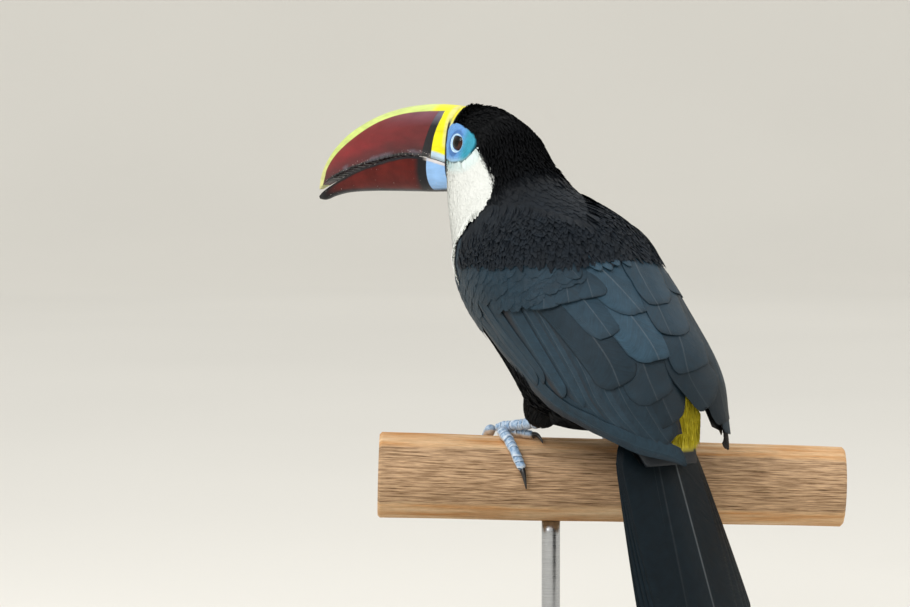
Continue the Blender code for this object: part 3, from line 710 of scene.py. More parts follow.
def bare_skin_material():
    """Bare skin: thin and fine-wrinkled, satin where it is stretched over the orbit.

    Its colour is the markings'; wrinkles 0.6 mm apart and pits of 0.3 mm give it relief.
    """
    made, tree, shader = new_material("bare_skin")
    colour = node(tree, "Attribute", {"attribute_name": "plumage"})
    place = node(tree, "TexCoord").outputs["Object"]
    patch = node(tree, "TexNoise", Vector=place, Scale=420.0, Detail=4.0)
    tone = node(tree, "MapRange", Value=patch, **MIDDLE, To_Min=0.86, To_Max=1.12)
    tinted = node(tree, "MixRGB", TINT, Fac=1.0, Color1=colour, Color2=tone)
    cells = node(tree, "TexVoronoi", {"feature": "DISTANCE_TO_EDGE"}, Vector=place, Scale=1400.0)
    folds = node(tree, "TexNoise", Vector=place, Scale=900.0, Detail=3.0, Distortion=1.2)
    height = node(tree, "Math", MULTIPLY_ADD, in0=cells, in1=1.2, in2=folds)
    bump = node(tree, "Bump", Strength=0.55, Distance=0.00025, Height=height)
    wire(tree, shader, Base_Color=tinted, Normal=bump, Roughness=0.48, IOR=1.42)
    return made


def eye_material(settings):
    """Eye: a wet, clear front over a dark brown iris and a black pupil.

    The clear front is a full, smooth coat.  The light it would gather on the lower rear side
    of the iris is painted there, and the rest of the iris is painted near black as shade; its
    fine spokes of lighter brown show only in that painted light.
    """
    made, tree, shader = new_material("eye")
    reach, turn, lit = (node(tree, "Attribute", {"attribute_name": key}).outputs["Fac"]
                        for key in ("reach", "turn", "lit"))
    around = node(tree, "CombineXYZ", X=turn, Y=reach)
    spokes = node(tree, "TexNoise", Vector=around, Scale=9.0, Detail=4.0)
    iris = node(tree, "ValToRGB", {"stops": [(0.35, settings.iris_dark), (0.7, settings.iris)]}, Fac=spokes)
    # painted light: the iris is brown only towards its lower rear side, near black elsewhere
    painted_iris_light = node(tree, "MapRange", Value=lit, From_Min=0.2, From_Max=2.6)
    iris = node(tree, "MixRGB", Fac=painted_iris_light, Color1=srgb("#060404"), Color2=iris)
    pupil = node(tree, "MapRange", Value=reach, From_Min=2.5, From_Max=2.9)
    inner = node(tree, "MixRGB", Fac=pupil, Color1=srgb("#040303"), Color2=iris)
    rim = node(tree, "MapRange", Value=reach, From_Min=4.7, From_Max=5.3)
    whole = node(tree, "MixRGB", Fac=rim, Color1=inner, Color2=srgb("#0d0908"))
    wire(tree, shader, Base_Color=whole, Roughness=0.3, Specular_IOR_Level=0.05,
         Coat_Weight=0.45, Coat_Roughness=0.02)
    return made


def bill_material(name, settings, upper):
    """Bill: a horny sheath of keratin over a light core, smooth, with a dull polish.

    Its bands have crisp borders, so each border's distance in millimetres is an attribute
    of the surface and the shader steps there; growth lines run along it.  A layer is a
    colour and the ranges over which it comes in, multiplied; a range gives a value, where
    the layer starts, where it is full, and how strong it then is, if less than 1.
    """
    made, tree, shader = new_material(name)
    names = ("forward", "above_edge", "above_keel", "stripe", "black_front", "yellow_front", "blue_front")
    at = {key: node(tree, "Attribute", {"attribute_name": key}).outputs["Fac"] for key in names}
    forward, edge, crisp, black = at["forward"], at["above_edge"], 0.3, settings.black
    place = node(tree, "TexCoord").outputs["Object"]
    stretched = node(tree, "Mapping", Vector=place, Scale=(1.0, 0.22, 1.0))
    streak = node(tree, "TexNoise", Vector=stretched, Scale=260.0, Detail=5.0)
    blotch = node(tree, "TexNoise", Vector=place, Scale=60.0, Detail=3.0)
    fine = node(tree, "TexNoise", Vector=place, Scale=700.0, Detail=2.0)
    wander = node(tree, "Math", MULTIPLY_ADD, in0=streak, in1=2.4, in2=-1.2)
    above = node(tree, "Math", {"operation": "ADD"}, in0=edge, in1=wander)
    if upper:
        tip = node(tree, "MapRange", Value=forward, From_Min=222.0, From_Max=242.0)
        green = node(tree, "MixRGB", Fac=tip, Color1=settings.stripe, Color2=settings.cream)
        tone = settings.red_base
        layers = [
            (settings.red_tip, [(forward, 120.0, 215.0)]),
            (settings.dusk, [(above, 12.0, 3.0, 0.7)]),
            (settings.lilac, [(at["stripe"], -10.0, -1.0, 0.5), (forward, 165.0, 112.0)]),
            (black, [(at["black_front"], crisp, -crisp)]),
            (settings.grey, [(at["stripe"], -10.0, -3.0, 0.9), (at["black_front"], crisp, -crisp)]),
            (settings.yellow, [(at["yellow_front"], crisp, -crisp)]),
            (settings.pale_blue, [(edge, 5.6, 4.2), (at["yellow_front"], crisp, -crisp)]),
            (green, [(at["stripe"], -0.25, 0.25)]),
            (settings.yellow, [(at["stripe"], -0.25, 0.25), (forward, 111.0, 104.0)]),
            (black, [(above, 2.2, 1.4), (forward, 236.0, 228.0), (forward, 106.0, 114.0)]),
            (settings.cream, [(forward, 91.0, 88.8, 0.7), (edge, 8.0, 12.0)]),
            (settings.grey, [(above, 4.6, 3.0, 0.45), (blotch, 0.48, 0.60), (forward, 236.0, 228.0)]),
            (settings.chip, [(fine, 0.66, 0.68), (edge, 4.5, 1.0)]),
        ]
    else:
        tone = settings.dark_red
        layers = [
            (settings.deep_red, [(blotch, 0.35, 0.65)]),
            (black, [(at["blue_front"], -crisp, crisp), (at["blue_front"], 15.0, 9.0)]),
            (settings.base_blue, [(at["blue_front"], crisp, -crisp)]),
            (black, [(above, -2.2, -1.2), (forward, 104.0, 112.0)]),
            (settings.chip, [(above, -2.6, -1.6, 0.9), (forward, 112.0, 104.0)]),
            (black, [(at["above_keel"], 2.6, 0.9)]),
            (black, [(forward, 214.0, 234.0)]),
            (settings.chip, [(fine, 0.70, 0.72), (blotch, 0.52, 0.60)]),
        ]
    layers.append((black, [(forward, 87.4, 86.6), (edge, 30.0, 26.0)]))
    for tint, ranges in layers:
        share = 1.0
        for value, first, last, *most in ranges:
            ramp = node(tree, "MapRange", Value=value, From_Min=first, From_Max=last,
                        To_Max=most[0] if most else 1.0)
            share = node(tree, "Math", MULTIPLY, in0=share, in1=ramp)
        tone = node(tree, "MixRGB", Fac=share, Color1=tone, Color2=tint)
    mottled = node(tree, "MapRange", Value=streak, **MIDDLE, To_Min=0.84, To_Max=1.14)
    tinted = node(tree, "MixRGB", TINT, Fac=1.0, Color1=tone, Color2=mottled)
    relief = node(tree, "Math", MULTIPLY_ADD, in0=fine, in1=0.35, in2=streak)
    bump = node(tree, "Bump", Strength=0.35, Distance=0.0003, Height=relief)
    gloss = node(tree, "MapRange", Value=blotch, **MIDDLE, To_Min=0.28, To_Max=0.44)
    wire(tree, shader, Base_Color=tinted, Normal=bump,
         Roughness=gloss, Specular_IOR_Level=0.33 if upper else 0.1)
    return made


def scute_material(settings):
    """Scutes: overlapping horny plates on the toes, satin, blue, with painted highlights on the edges.

    The attribute ring runs 0..1 along each plate and under is 1 on the padded sole.
    """
    made, tree, shader = new_material("scute")
    ring = node(tree, "Attribute", {"attribute_name": "ring"}).outputs["Fac"]
    under = node(tree, "Attribute", {"attribute_name": "under"}).outputs["Fac"]
    place = node(tree, "TexCoord").outputs["Object"]
    blotch = node(tree, "TexNoise", Vector=place, Scale=520.0, Detail=4.0)
    plate = node(tree, "ValToRGB", {"stops": [(0.38, settings.scute_deep), (0.62, settings.scute)]},
                 Fac=blotch)
    # painted highlight: each plate is paler at its raised end, just before the seam
    worn = node(tree, "MapRange", Value=ring, From_Min=0.74, From_Max=0.96)
    plate = node(tree, "MixRGB", Fac=worn, Color1=plate, Color2=settings.scute_edge_highlight)
    seam = node(tree, "MapRange", Value=ring, From_Min=0.20, From_Max=0.06)
    plate = node(tree, "MixRGB", Fac=seam, Color1=plate, Color2=settings.scute_seam)
    sole = node(tree, "MixRGB", Fac=under, Color1=plate, Color2=settings.sole)
    pits = node(tree, "TexVoronoi", {"feature": "DISTANCE_TO_EDGE"}, Vector=place, Scale=1500.0)
    bump = node(tree, "Bump", Strength=0.4, Distance=0.0002, Height=pits)
    wire(tree, shader, Base_Color=sole, Normal=bump, Roughness=0.5, IOR=1.5)
    return made


def claw_material(settings):
    """Claw: a solid keratin horn, nearly black, polished by use, with greyer grain here and there."""
    made, tree, shader = new_material("claw")
    place = node(tree, "TexCoord").outputs["Object"]
    grain = node(tree, "TexNoise", Vector=place, Scale=600.0, Detail=3.0)
    tone = node(tree, "ValToRGB", {"stops": [(0.35, settings.claw), (0.75, settings.claw_pale)]}, Fac=grain)
    bump = node(tree, "Bump", Strength=0.3, Distance=0.0002, Height=grain)
    wire(tree, shader, Base_Color=tone, Normal=bump, Roughness=0.32, IOR=1.54)
    return made


def bark_material(settings):
    """Peeled branch: softwood that has weathered to grey-brown along its flanks.

    Grain and drying cracks run along it; the top and the underside, rubbed or sheltered,
    keep a warm tan.  The attribute grain holds metres along, up and across the branch.
    """
    made, tree, shader = new_material("weathered_wood")
    own = node(tree, "Attribute", {"attribute_name": "grain"}).outputs["Vector"]
    weather = node(tree, "Attribute", {"attribute_name": "weather"}).outputs["Fac"]
    scales = {"broad": (12.0, 160.0, 160.0), "line": (55.0, 1100.0, 1100.0), "hair": (130.0, 2800.0, 2800.0),
              "patch": (26.0, 70.0, 70.0)}
    noise = {key: node(tree, "TexNoise", Vector=node(tree, "Mapping", Vector=own, Scale=scale), Scale=1.0,
                       Detail=5.0, Roughness=0.6) for key, scale in scales.items()}
    uneven = node(tree, "Math", MULTIPLY_ADD, in0=noise["patch"], in1=1.3, in2=weather)
    worn = node(tree, "MapRange", Value=uneven, From_Min=0.85, From_Max=1.35)
    stops = [(0.34, settings.tan_dark), (0.66, settings.tan)]
    tan = node(tree, "ValToRGB", {"stops": stops}, Fac=noise["broad"])
    stops = [(0.26, settings.crack), (0.38, settings.grey_dark), (0.60, settings.grey)]
    grey = node(tree, "ValToRGB", {"stops": stops}, Fac=noise["line"])
    tone = node(tree, "MixRGB", Fac=worn, Color1=tan, Color2=grey)
    hairs = node(tree, "MapRange", Value=noise["hair"], **MIDDLE, To_Min=0.72, To_Max=1.2)
    tone = node(tree, "MixRGB", TINT, Fac=1.0, Color1=tone, Color2=hairs)
    lines = node(tree, "MapRange", Value=noise["line"], From_Min=0.34, From_Max=0.28, To_Max=0.7)
    tone = node(tree, "MixRGB", Fac=lines, Color1=tone, Color2=settings.crack)
    relief = node(tree, "Math", MULTIPLY_ADD, in0=noise["line"], in1=1.0, in2=noise["broad"])
    bump = node(tree, "Bump", Strength=0.8, Distance=0.0009, Height=relief)
    wire(tree, shader, Base_Color=tone, Normal=bump, Roughness=0.85, Specular_IOR_Level=0.25)
    return made


def end_grain_material(settings):
    """Sawn branch end: pale wood with growth rings and a few drying cracks."""
    made, tree, shader = new_material("end_grain")
    own = node(tree, "UVMap", {"uv_map": "round"})
    rings = node(tree, "TexWave", {"wave_type": "RINGS", "rings_direction": "Z"}, Vector=own, Scale=110.0,
                 Distortion=2.5, Detail=2.0)
    tone = node(tree, "ValToRGB", {"stops": [(0.2, settings.tan_dark), (0.8, settings.end)]}, Fac=rings)
    bump = node(tree, "Bump", Strength=0.4, Distance=0.0004, Height=rings)
    wire(tree, shader, Base_Color=tone, Normal=bump, Roughness=0.85)
    return made


def base_material(settings):
    """Stained hardwood disc under a satin varnish: open grain along one direction."""
    made, tree, shader = new_material("stained_wood")
    place = node(tree, "TexCoord").outputs["Object"]
    along = node(tree, "Mapping", Vector=place, Scale=(14.0, 150.0, 60.0))
    grain = node(tree, "TexNoise", Vector=along, Scale=1.0, Detail=6.0, Roughness=0.6)
    pores = node(tree, "TexNoise", Vector=along, Scale=6.0, Detail=3.0)
    tone = node(tree, "ValToRGB", {"stops": [(0.3, settings.stain_dark), (0.7, settings.stain)]},
                Fac=grain)
    bump = node(tree, "Bump", Strength=0.25, Distance=0.0003, Height=pores)
    gloss = node(tree, "MapRange", Value=pores, **MIDDLE, To_Min=0.30, To_Max=0.45)
    wire(tree, shader, Base_Color=tone, Normal=bump, Roughness=gloss)
    return made


def steel_material(settings):
    """Brushed stainless steel rod: fine scratches round it blur its reflections."""
    made, tree, shader = new_material("brushed_steel")
    place = node(tree, "TexCoord").outputs["Object"]
    round_it = node(tree, "Mapping", Vector=place, Scale=(40.0, 40.0, 2500.0))
    scratch = node(tree, "TexNoise", Vector=round_it, Scale=1.0, Detail=3.0)
    tone = node(tree, "ValToRGB", {"stops": [(0.3, settings.steel_dark), (0.7, settings.steel)]},
                Fac=scratch)
    gloss = node(tree, "MapRange", Value=scratch, **MIDDLE, To_Min=0.24, To_Max=0.40)
    bump = node(tree, "Bump", Strength=0.1, Distance=0.0001, Height=scratch)
    wire(tree, shader, Base_Color=tone, Roughness=gloss, Normal=bump, Metallic=1.0)
    return made


# ---- settings ----
def colour(name, text, value):
    """A colour property whose default is an sRGB hex value."""
    return FloatVectorProperty(name=name, description=text, subtype="COLOR", size=4, min=0.0, max=1.0,
                               default=srgb(value))


def length(name, text, value):
    """A length property whose default is in millimetres."""
    return FloatProperty(name=name, description=text, unit="LENGTH", min=0.0, precision=4,
                         default=value * MM)


class PlumageSettings(bpy.types.PropertyGroup):
    """Sizes and colours of the plumage and the bare skin."""

    black: colour("Black", "Crown and belly", "#0A0B0D")
    # painted sheen: the blue in this black stands for the sky's sheen on the back
    mantle: colour("Mantle", "Back and scapulars", "#0E161E")
    # painted reflection: this slate blue stands for the sky's sheen on the wings' black feathers
    slate: colour("Slate", "Sheen of the wing coverts and tertials", "#2B4454")
    brown: colour("Brown", "Worn outer flight feathers", "#2C2625")
    tail: colour("Tail", "Tail feathers", "#0B171E")
    horn: colour("Horn", "Base of the culmen on the forehead", "#E6DC2A")
    pale_horn: colour("Pale horn", "Rim of the horn beside the forehead", "#D9D694")
    shaft: colour("Shaft", "Pale shafts of flight feathers", "#8E9498")
    white: colour("White", "Bib and cheeks", "#E5E7E2")
    red: colour("Red", "Breast band and undertail coverts", "#B8301C")
    yellow: colour("Yellow", "Uppertail coverts", "#D3C433")
    orange: colour("Orange", "Edge of the yellow", "#D9701C")
    orbit_blue: colour("Orbit blue", "Bare skin in front of and over the eye", "#6098D6")
    orbit_cyan: colour("Orbit cyan", "Bare skin behind the eye", "#2A94AE")
    orbit_deep: colour("Orbit deep", "Fold round the lids", "#2F62A4")
    orbit_pale: colour("Orbit pale", "Lower edge of the bare skin", "#C4E6E8")
    lid: colour("Lid", "Rim of the eyelids", "#C4E4FA")
    head_tuft: length("Head tuft", "Length of the crown's feathers", 6.0)
    bib_tuft: length("Bib tuft", "Length of the bib's feathers", 7.5)
    body_tuft: length("Body tuft", "Length of the back's and belly's feathers", 13.0)


class BillSettings(bpy.types.PropertyGroup):
    """Colours of the bill and the eye."""

    red_base: colour("Red, middle", "Side of the upper bill", "#641F22")
    red_tip: colour("Red, tip", "Side of the upper bill near its tip", "#841B20")
    dusk: colour("Dusk", "Smudge over the cutting edge", "#331E22")
    lilac: colour("Lilac", "Bloom under the stripe", "#8A5E70")
    black: colour("Black", "Bands and edges", "#17171B")
    grey: colour("Grey", "Top of the black band", "#6E6A78")
    yellow: colour("Yellow", "Band at the base", "#F2EA10")
    stripe: colour("Stripe", "Stripe along the culmen", "#CFE07A")
    cream: colour("Cream", "Tip of the upper bill", "#D9D694")
    pale_blue: colour("Pale blue", "Patch under the yellow band", "#B9D3E6")
    dark_red: colour("Dark red", "Side of the lower bill", "#601A14")
    deep_red: colour("Deep red", "Darker patches of the lower bill", "#4C110C")
    base_blue: colour("Base blue", "Base of the lower bill", "#92BCEC")
    chip: colour("Chip", "Small worn flakes", "#D8CFC8")
    iris: colour("Iris", "Lighter spokes of the iris", "#5A2A1A")
    iris_dark: colour("Iris, dark", "Darker spokes of the iris", "#200D08")


class FootSettings(bpy.types.PropertyGroup):
    """Colours of the feet."""

    scute: colour("Scute", "Plates of the toes", "#B4CAE0")
    scute_deep: colour("Scute, deep", "Bluer parts of the plates", "#7C9CC0")
    # painted highlight: the pale colour on the plates' raised edges
    scute_edge_highlight: colour("Scute edge", "Worn edges of the plates", "#DCE6F0")
    scute_seam: colour("Seam", "Gaps between the plates", "#1C2633")
    sole: colour("Sole", "Pads under the toes", "#C9B7A4")
    claw: colour("Claw", "Claws", "#0E0E11")
    claw_pale: colour("Claw, pale", "Worn parts of the claws", "#302F2F")


class StandSettings(bpy.types.PropertyGroup):
    """Colours and sizes of the perch, the stand and the stage."""

    tan: colour("Tan", "Rubbed wood", "#EBCCA4")
    tan_dark: colour("Tan, dark", "Darker streaks of rubbed wood", "#C48B52")
    grey: colour("Grey", "Weathered wood", "#CFAC88")
    grey_dark: colour("Grey, dark", "Darker weathered wood", "#8C6E50")
    crack: colour("Crack", "Drying cracks", "#2C2018")
    end: colour("End", "Sawn ends", "#D8B98A")
    stain: colour("Stain", "Base, lighter grain", "#3A2A20")
    stain_dark: colour("Stain, dark", "Base, darker grain", "#221812")
    steel: colour("Steel", "Rod", "#C4C6C8")
    steel_dark: colour("Steel, dark", "Scratches on the rod", "#A2A4A8")
    floor: colour("Floor", "Floor and backdrop", "#E6E3DC")
    relief: length("Relief", "Depth of the perch's grain", 0.35)
    lamp: FloatProperty(name="Lamp", description="Power of the main lamp in watts", default=21.0, min=0.0)


# ---- skin, lids and eyes ----
def coat_depth(points, u):
    """Millimetres from the plumage's outline in to the skin: none on bare skin or at the bill."""
    return COAT_DEPTH * smooth(FOREHEAD - 0.02, FOREHEAD + 0.35, u) * (1 - bare(points))


def on_side(forward, height):
    """Section, angle and side of the body's left surface at given forward and height.

    Newton steps on the two unknowns, from the middle of the face.
    """
    u, angle = np.full(forward.shape, 2.0), np.full(forward.shape, 1.2)
    small, rounds = 1e-4, 14
    for _ in range(rounds):
        _, f, h = bird(body(u, angle, 0.0))
        _, f_u, h_u = bird(body(u + small, angle, 0.0))
        _, f_a, h_a = bird(body(u, angle + small, 0.0))
        a, b, c, d = (f_u - f) / small, (f_a - f) / small, (h_u - h) / small, (h_a - h) / small
        det = a * d - b * c
        u = np.clip(u - np.clip((d * (f - forward) - b * (h - height)) / det, -0.6, 0.6), 0.0, 8.0)
        angle = angle - np.clip((a * (h - height) - c * (f - forward)) / det, -0.3, 0.3)
    return u, angle, bird(body(u, angle, 0.0))[0]


def eye_dip(points):
    """How far the skin drops over the eyeball, in millimetres, and the folds round it."""
    side, forward, height = bird(points)
    rise = height - EYE_HEIGHT
    reach = np.hypot((forward - LID_FORWARD - LID_SLANT * rise) / 1.13, rise / 0.88)
    on_face = smooth(10, 14, np.abs(side))
    dip = 7.0 * smooth(LID_REACH + 0.9, LID_REACH - 1.0, reach) * on_face
    folds = 0.16 * np.sin(2 * np.pi * reach / 2.1) * smooth(8.0, 9.0, reach) * bare(points) * on_face
    return dip - folds


def lid_part(sign, settings):
    """Eyelids: a ring that rises from the skin, rolls over and comes down on the eyeball.

    Round the eye it is a grid of turn and step; step 0 is 2.6 mm outside the opening, the
    crest is at 0.45 and step 1 lies on the ball.
    """
    rows, columns = 15, 96
    turn = full_turn(columns)
    step = np.linspace(0, 1, rows)[:, None]
    reach = LID_REACH + 2.4 - 3.0 * step + 0.0 * turn
    rise = 0.88 * reach * np.sin(turn)
    forward = LID_FORWARD + 1.13 * reach * np.cos(turn) + LID_SLANT * rise
    height = EYE_HEIGHT + rise
    _, _, level = on_side(forward, height)
    apart = (forward - EYE_FORWARD + EYE_BACK) ** 2 + (height - EYE_HEIGHT) ** 2
    front = np.sqrt(np.clip((EYE_RADIUS + 0.05) ** 2 - apart, 0, None))
    ball = EYES["left"][0] / MM - ORIGIN[0] / MM - EYE_INSET + front
    crest = 0.55 * np.sin(np.pi * np.clip(step / 0.75, 0, 1)) ** 1.2
    level = level + (crest + 0.05 * np.sin(turn * 24) * np.sin(np.pi * step))
    side = level + (ball - level) * smooth(0.55, 1.0, step)
    side = np.maximum(side, ball + 0.30 * smooth(1.0, 0.84, step))
    points = world(sign * side, forward, height)
    faces = grid_faces(rows, columns, closed=True)[:, ::sign]
    pale = smooth(0.36, 0.50, step) * smooth(0.86, 0.78, step) + 0 * turn
    dark = smooth(0.86, 0.95, step) + 0 * turn
    tone = blend(orbit_colour(points, settings), settings.lid, pale)
    tone = blend(tone, srgb("#15181E"), dark)
    return points.reshape(-1, 3), faces, {"plumage": tone.reshape(-1, 3)}


def body_skin(settings):
    """Skin of head, neck, trunk and rump: a grid of section and angle, finest at the eyes."""
    head_end, head_rows, other_rows, columns, end_rows = 3.6, 150, 110, 260, 6
    u = np.concatenate([np.linspace(0, head_end, head_rows, endpoint=False),
                        np.linspace(head_end, SKIN_END, other_rows)])[:, None]
    even = np.linspace(-np.pi, np.pi, 4001)
    density = 1 + 2.6 * np.exp(-((np.abs(np.degrees(even)) - 74) / 15) ** 2)
    share = running((density[1:] + density[:-1]) / 2)
    angle = np.interp(np.linspace(0, share[-1], columns, endpoint=False), share, even)[None, :]
    outline = body(u, angle, 0.0)
    lift = -coat_depth(outline, u) - eye_dip(outline)
    points = body(u, angle, lift)
    colours = body_colour(outline, u, angle, settings)
    colours = blend(colours, orbit_colour(outline, settings), bare(outline))
    hub = points[-1].mean(axis=0)
    close = hub + (points[-1] - hub) * np.linspace(0.8, 0.002, end_rows)[:, None, None]
    points = np.concatenate([points, close])
    colours = np.concatenate([colours, np.repeat(colours[-1:], end_rows, axis=0)])
    faces = grid_faces(*points.shape[:2], closed=True)
    return points.reshape(-1, 3), faces, {"plumage": colours.reshape(-1, 3)}


def thigh_skin(side, settings):
    """Skin of a thigh, closed at both ends; the hip lies under the flank's plumage."""
    step = np.linspace(-0.98, 0.98, 24)[:, None]
    angle = full_turn(40)
    points, faces = capped_tube(thigh(side)(step, angle, -COAT_DEPTH))
    return points, faces, {"plumage": plain(settings.black, len(points))}


def make_skin(settings):
    """One skin for all the flesh, lids included."""
    parts = [body_skin(settings)]
    parts += [thigh_skin(side, settings) for side in FEET]
    parts += [lid_part(sign, settings) for sign in (1, -1)]
    nodes = ["head", "neck", "trunk", "rump", "thigh_left", "thigh_right"]
    add_piece("skin", *join(parts), bare_skin_material(), "bare_skin", nodes)


def make_eyes(settings):
    """Eyeballs: grids of turn and reach from the axis that points out of the face."""
    finish = eye_material(settings)
    for side, sign in (("left", 1), ("right", -1)):
        rows, columns, pole = 48, 64, 0.004
        polar = np.linspace(pole, np.pi - pole, rows)[:, None]
        turn = full_turn(columns)
        out = EYE_RADIUS * np.cos(polar) + 0 * turn
        reach = EYE_RADIUS * np.sin(polar)
        own = np.stack([sign * (out - EYE_INSET), EYE_BACK - reach * np.cos(turn),
                        reach * np.sin(turn)], axis=-1)
        faces = grid_faces(rows, columns, closed=True)[:, ::-sign]
        front = np.where(out > 0, reach, 2 * EYE_RADIUS - reach)
        # lit: where the iris's painted light falls, highest on the lower rear side
        values = {"reach": front.ravel(), "turn": (np.cos(turn) * 2 + 0 * polar).ravel(),
                  "lit": (-reach * np.cos(turn - 1.0)).ravel()}
        add_piece(f"eyeball_{side}", EYES[side] + own * MM, faces, values, finish, "eye", [f"eye_{side}"])


# ---- bill ----
def mandible(ridge, edge, upper, rows=260, arch=72, under=20):
    """One half of the bill: an arch from edge to edge over the ridge, and a hollowed underside.

    The arch is half-width * |cos|^fullness across and sin^fullness from edge to ridge.  Fine
    forward-pointing teeth notch the upper cutting edge, deepest at mid-length.
    """
    t = np.linspace(0, len(ridge) - 1, rows)
    top, bottom = curve(ridge, t)[:, None, :], curve(edge, t)[:, None, :]
    half = curve(BILL_HALF_WIDTH[:, None], t)
    turn = np.linspace(0, np.pi, arch)[None, :]
    side = half * np.sign(np.cos(turn)) * np.abs(np.cos(turn)) ** BILL_FULLNESS
    rise = np.sin(turn)[..., None] ** BILL_FULLNESS
    place = bottom + (top - bottom) * rise
    across = np.linspace(-1, 1, under + 2)[None, 1:-1]
    hollow = (top - bottom) * (0.10 * (1 - across**2) ** 0.5)[..., None]
    side = np.concatenate([side, half * across], axis=1)
    place = np.concatenate([place, bottom + hollow * np.clip(half[..., None] / 12, 0, 1)], axis=1)
    forward, height = place[..., 0], place[..., 1]
    if upper:
        near = np.concatenate([smooth(0.16, 0.0, rise[..., 0]), np.ones((1, under))], axis=1)
        tooth = (forward / 4.6 + 0.35 * np.sin(forward / 7.0)) % 1.0
        bite = 0.9 * tooth**1.5 * smooth(112, 130, forward) * smooth(232, 222, forward)
        height = height + near * bite
    return side, forward, height


def bill_fields(forward, height, edge, ridge):
    """Distances, in millimetres, to the bill's edges and to the borders of its bands."""
    def above(line):
        """Distance over a line of (forward, height) rows."""
        return (height - np.interp(forward, line[:, 0], line[:, 1])).ravel()

    def ahead_of(heights, border):
        """Distance in front of a border given at heights."""
        return (forward - np.interp(height, heights, border)).ravel()

    fine = [curve(line, np.linspace(0, len(line) - 1, 400)) for line in (edge, ridge, STRIPE)]
    return {
        "forward": forward.ravel(),
        "above_edge": above(fine[0]),
        "above_keel": above(fine[1]),
        "stripe": above(fine[2][::-1]),
        "black_front": ahead_of([180, 190, 197, 204, 211], [114, 110, 107, 104, 101]),
        "yellow_front": ahead_of([180, 187, 193, 200, 207, 212, 214],
                                 [102.5, 101.2, 100, 98, 95.5, 95.5, 97]),
        "blue_front": ahead_of([157, 181], [110.5, 107]),
    }


def make_bill(settings):
    """Both halves of the bill, each closed at the base and the tip."""
    for name, ridge, edge, upper, slot in (("bill_upper", CULMEN, UPPER_EDGE, True, "red_horn"),
                                           ("bill_lower", GONYS, LOWER_EDGE, False, "dark_red_horn")):
        side, forward, height = mandible(ridge, edge, upper)
        rings = world(side, forward, height)
        points, faces = capped_tube(rings)
        _, forward, height = bird(points)
        if upper:
            faces = faces[:, ::-1]
        values = bill_fields(forward, height, edge, ridge)
        finish = bill_material(name, settings, upper)
        add_piece(name + "_sheath", points, faces, values, finish, slot, [name])


# ---- feet ----
def tube(path, radii, sides, squash=1.0):
    """Rings round a path: radii is one number or one row of numbers per point.

    The crosswise direction starts level and is carried along the path without twisting.
    """
    angles = full_turn(sides)[0]
    directions = unit(np.gradient(path, axis=0))
    across = np.cross(directions[0], (0.0, 0.0, 1.0))
    carried = []
    for ahead in directions:
        across = unit(across - ahead * (across @ ahead))
        carried.append(across)
    carried = np.array(carried)
    upward = np.cross(carried, directions)
    radii = np.asarray(radii, float).reshape(len(path), -1, 1)
    spoke = squash * np.cos(angles)[None, :, None] * carried[:, None] \
        + np.sin(angles)[None, :, None] * upward[:, None]
    return path[:, None] + radii * MM * spoke


def scutes(share, sides, count, top_relief, pads):
    """Radius factor, ring phase and sole share of a scuted toe or tarsus.

    On top each plate rises as a slow saw-tooth and drops at its seam; under it the pads
    bulge as sine waves.
    """
    angles = full_turn(sides)
    above = smooth(-0.45, 0.15, np.sin(angles))
    uneven = share[:, None] * count + 0.24 * np.sin(share[:, None] * count * 2.4)
    phase = (uneven + 0.10 * np.cos(angles) + 0.10 * np.sin(2 * angles + 9 * share[:, None])) % 1.0
    plate = top_relief * (phase - 0.5) - top_relief * smooth(0.10, 0.0, phase)
    pad = 0.08 * np.sin(2 * np.pi * pads * share[:, None])
    factor = 1 + above * plate + (1 - above) * pad
    return factor, phase + 0 * above, 1 - above + 0 * phase


def toe_and_claw(foot_at, reach, turn, radius):
    """Paths and radii of a toe along the perch and of its claw."""
    arc = math.radians(turn) * PERCH_RADIUS
    start = TOE_START / math.hypot(reach, arc)
    share = np.linspace(start, 1, 90)
    along = foot_at + reach * share ** (FRONT_TOE_SPREAD if turn < 0 else 1.0)
    widths = radius * (1.02 - 0.20 * share) * np.sqrt(np.clip((1.02 - share) / 0.06, 0.12, 1))
    toe = perch(along, np.radians(turn) * share, radius * (1.02 - 0.20 * share) + GAP)
    grip = np.linspace(0, 1, 40)
    lead = CLAW_START * 0.2 + (CLAW_START * 0.8 + CLAW_LENGTH * 0.6) * grip
    claw_along = along[-1] + lead * reach / math.hypot(reach, arc)
    claw_arc = arc + lead * arc / math.hypot(reach, arc) + math.copysign(CLAW_LENGTH * 0.5, turn) * grip**2
    arch = CLAW_RADIUS + 0.7 + 1.5 * np.sin(grip * np.pi) - 1.0 * grip
    claw = perch(claw_along, claw_arc / PERCH_RADIUS, arch)
    claw_widths = CLAW_RADIUS * (1 - grip) ** 0.7 + 0.25
    return share, toe, widths, claw, claw_widths


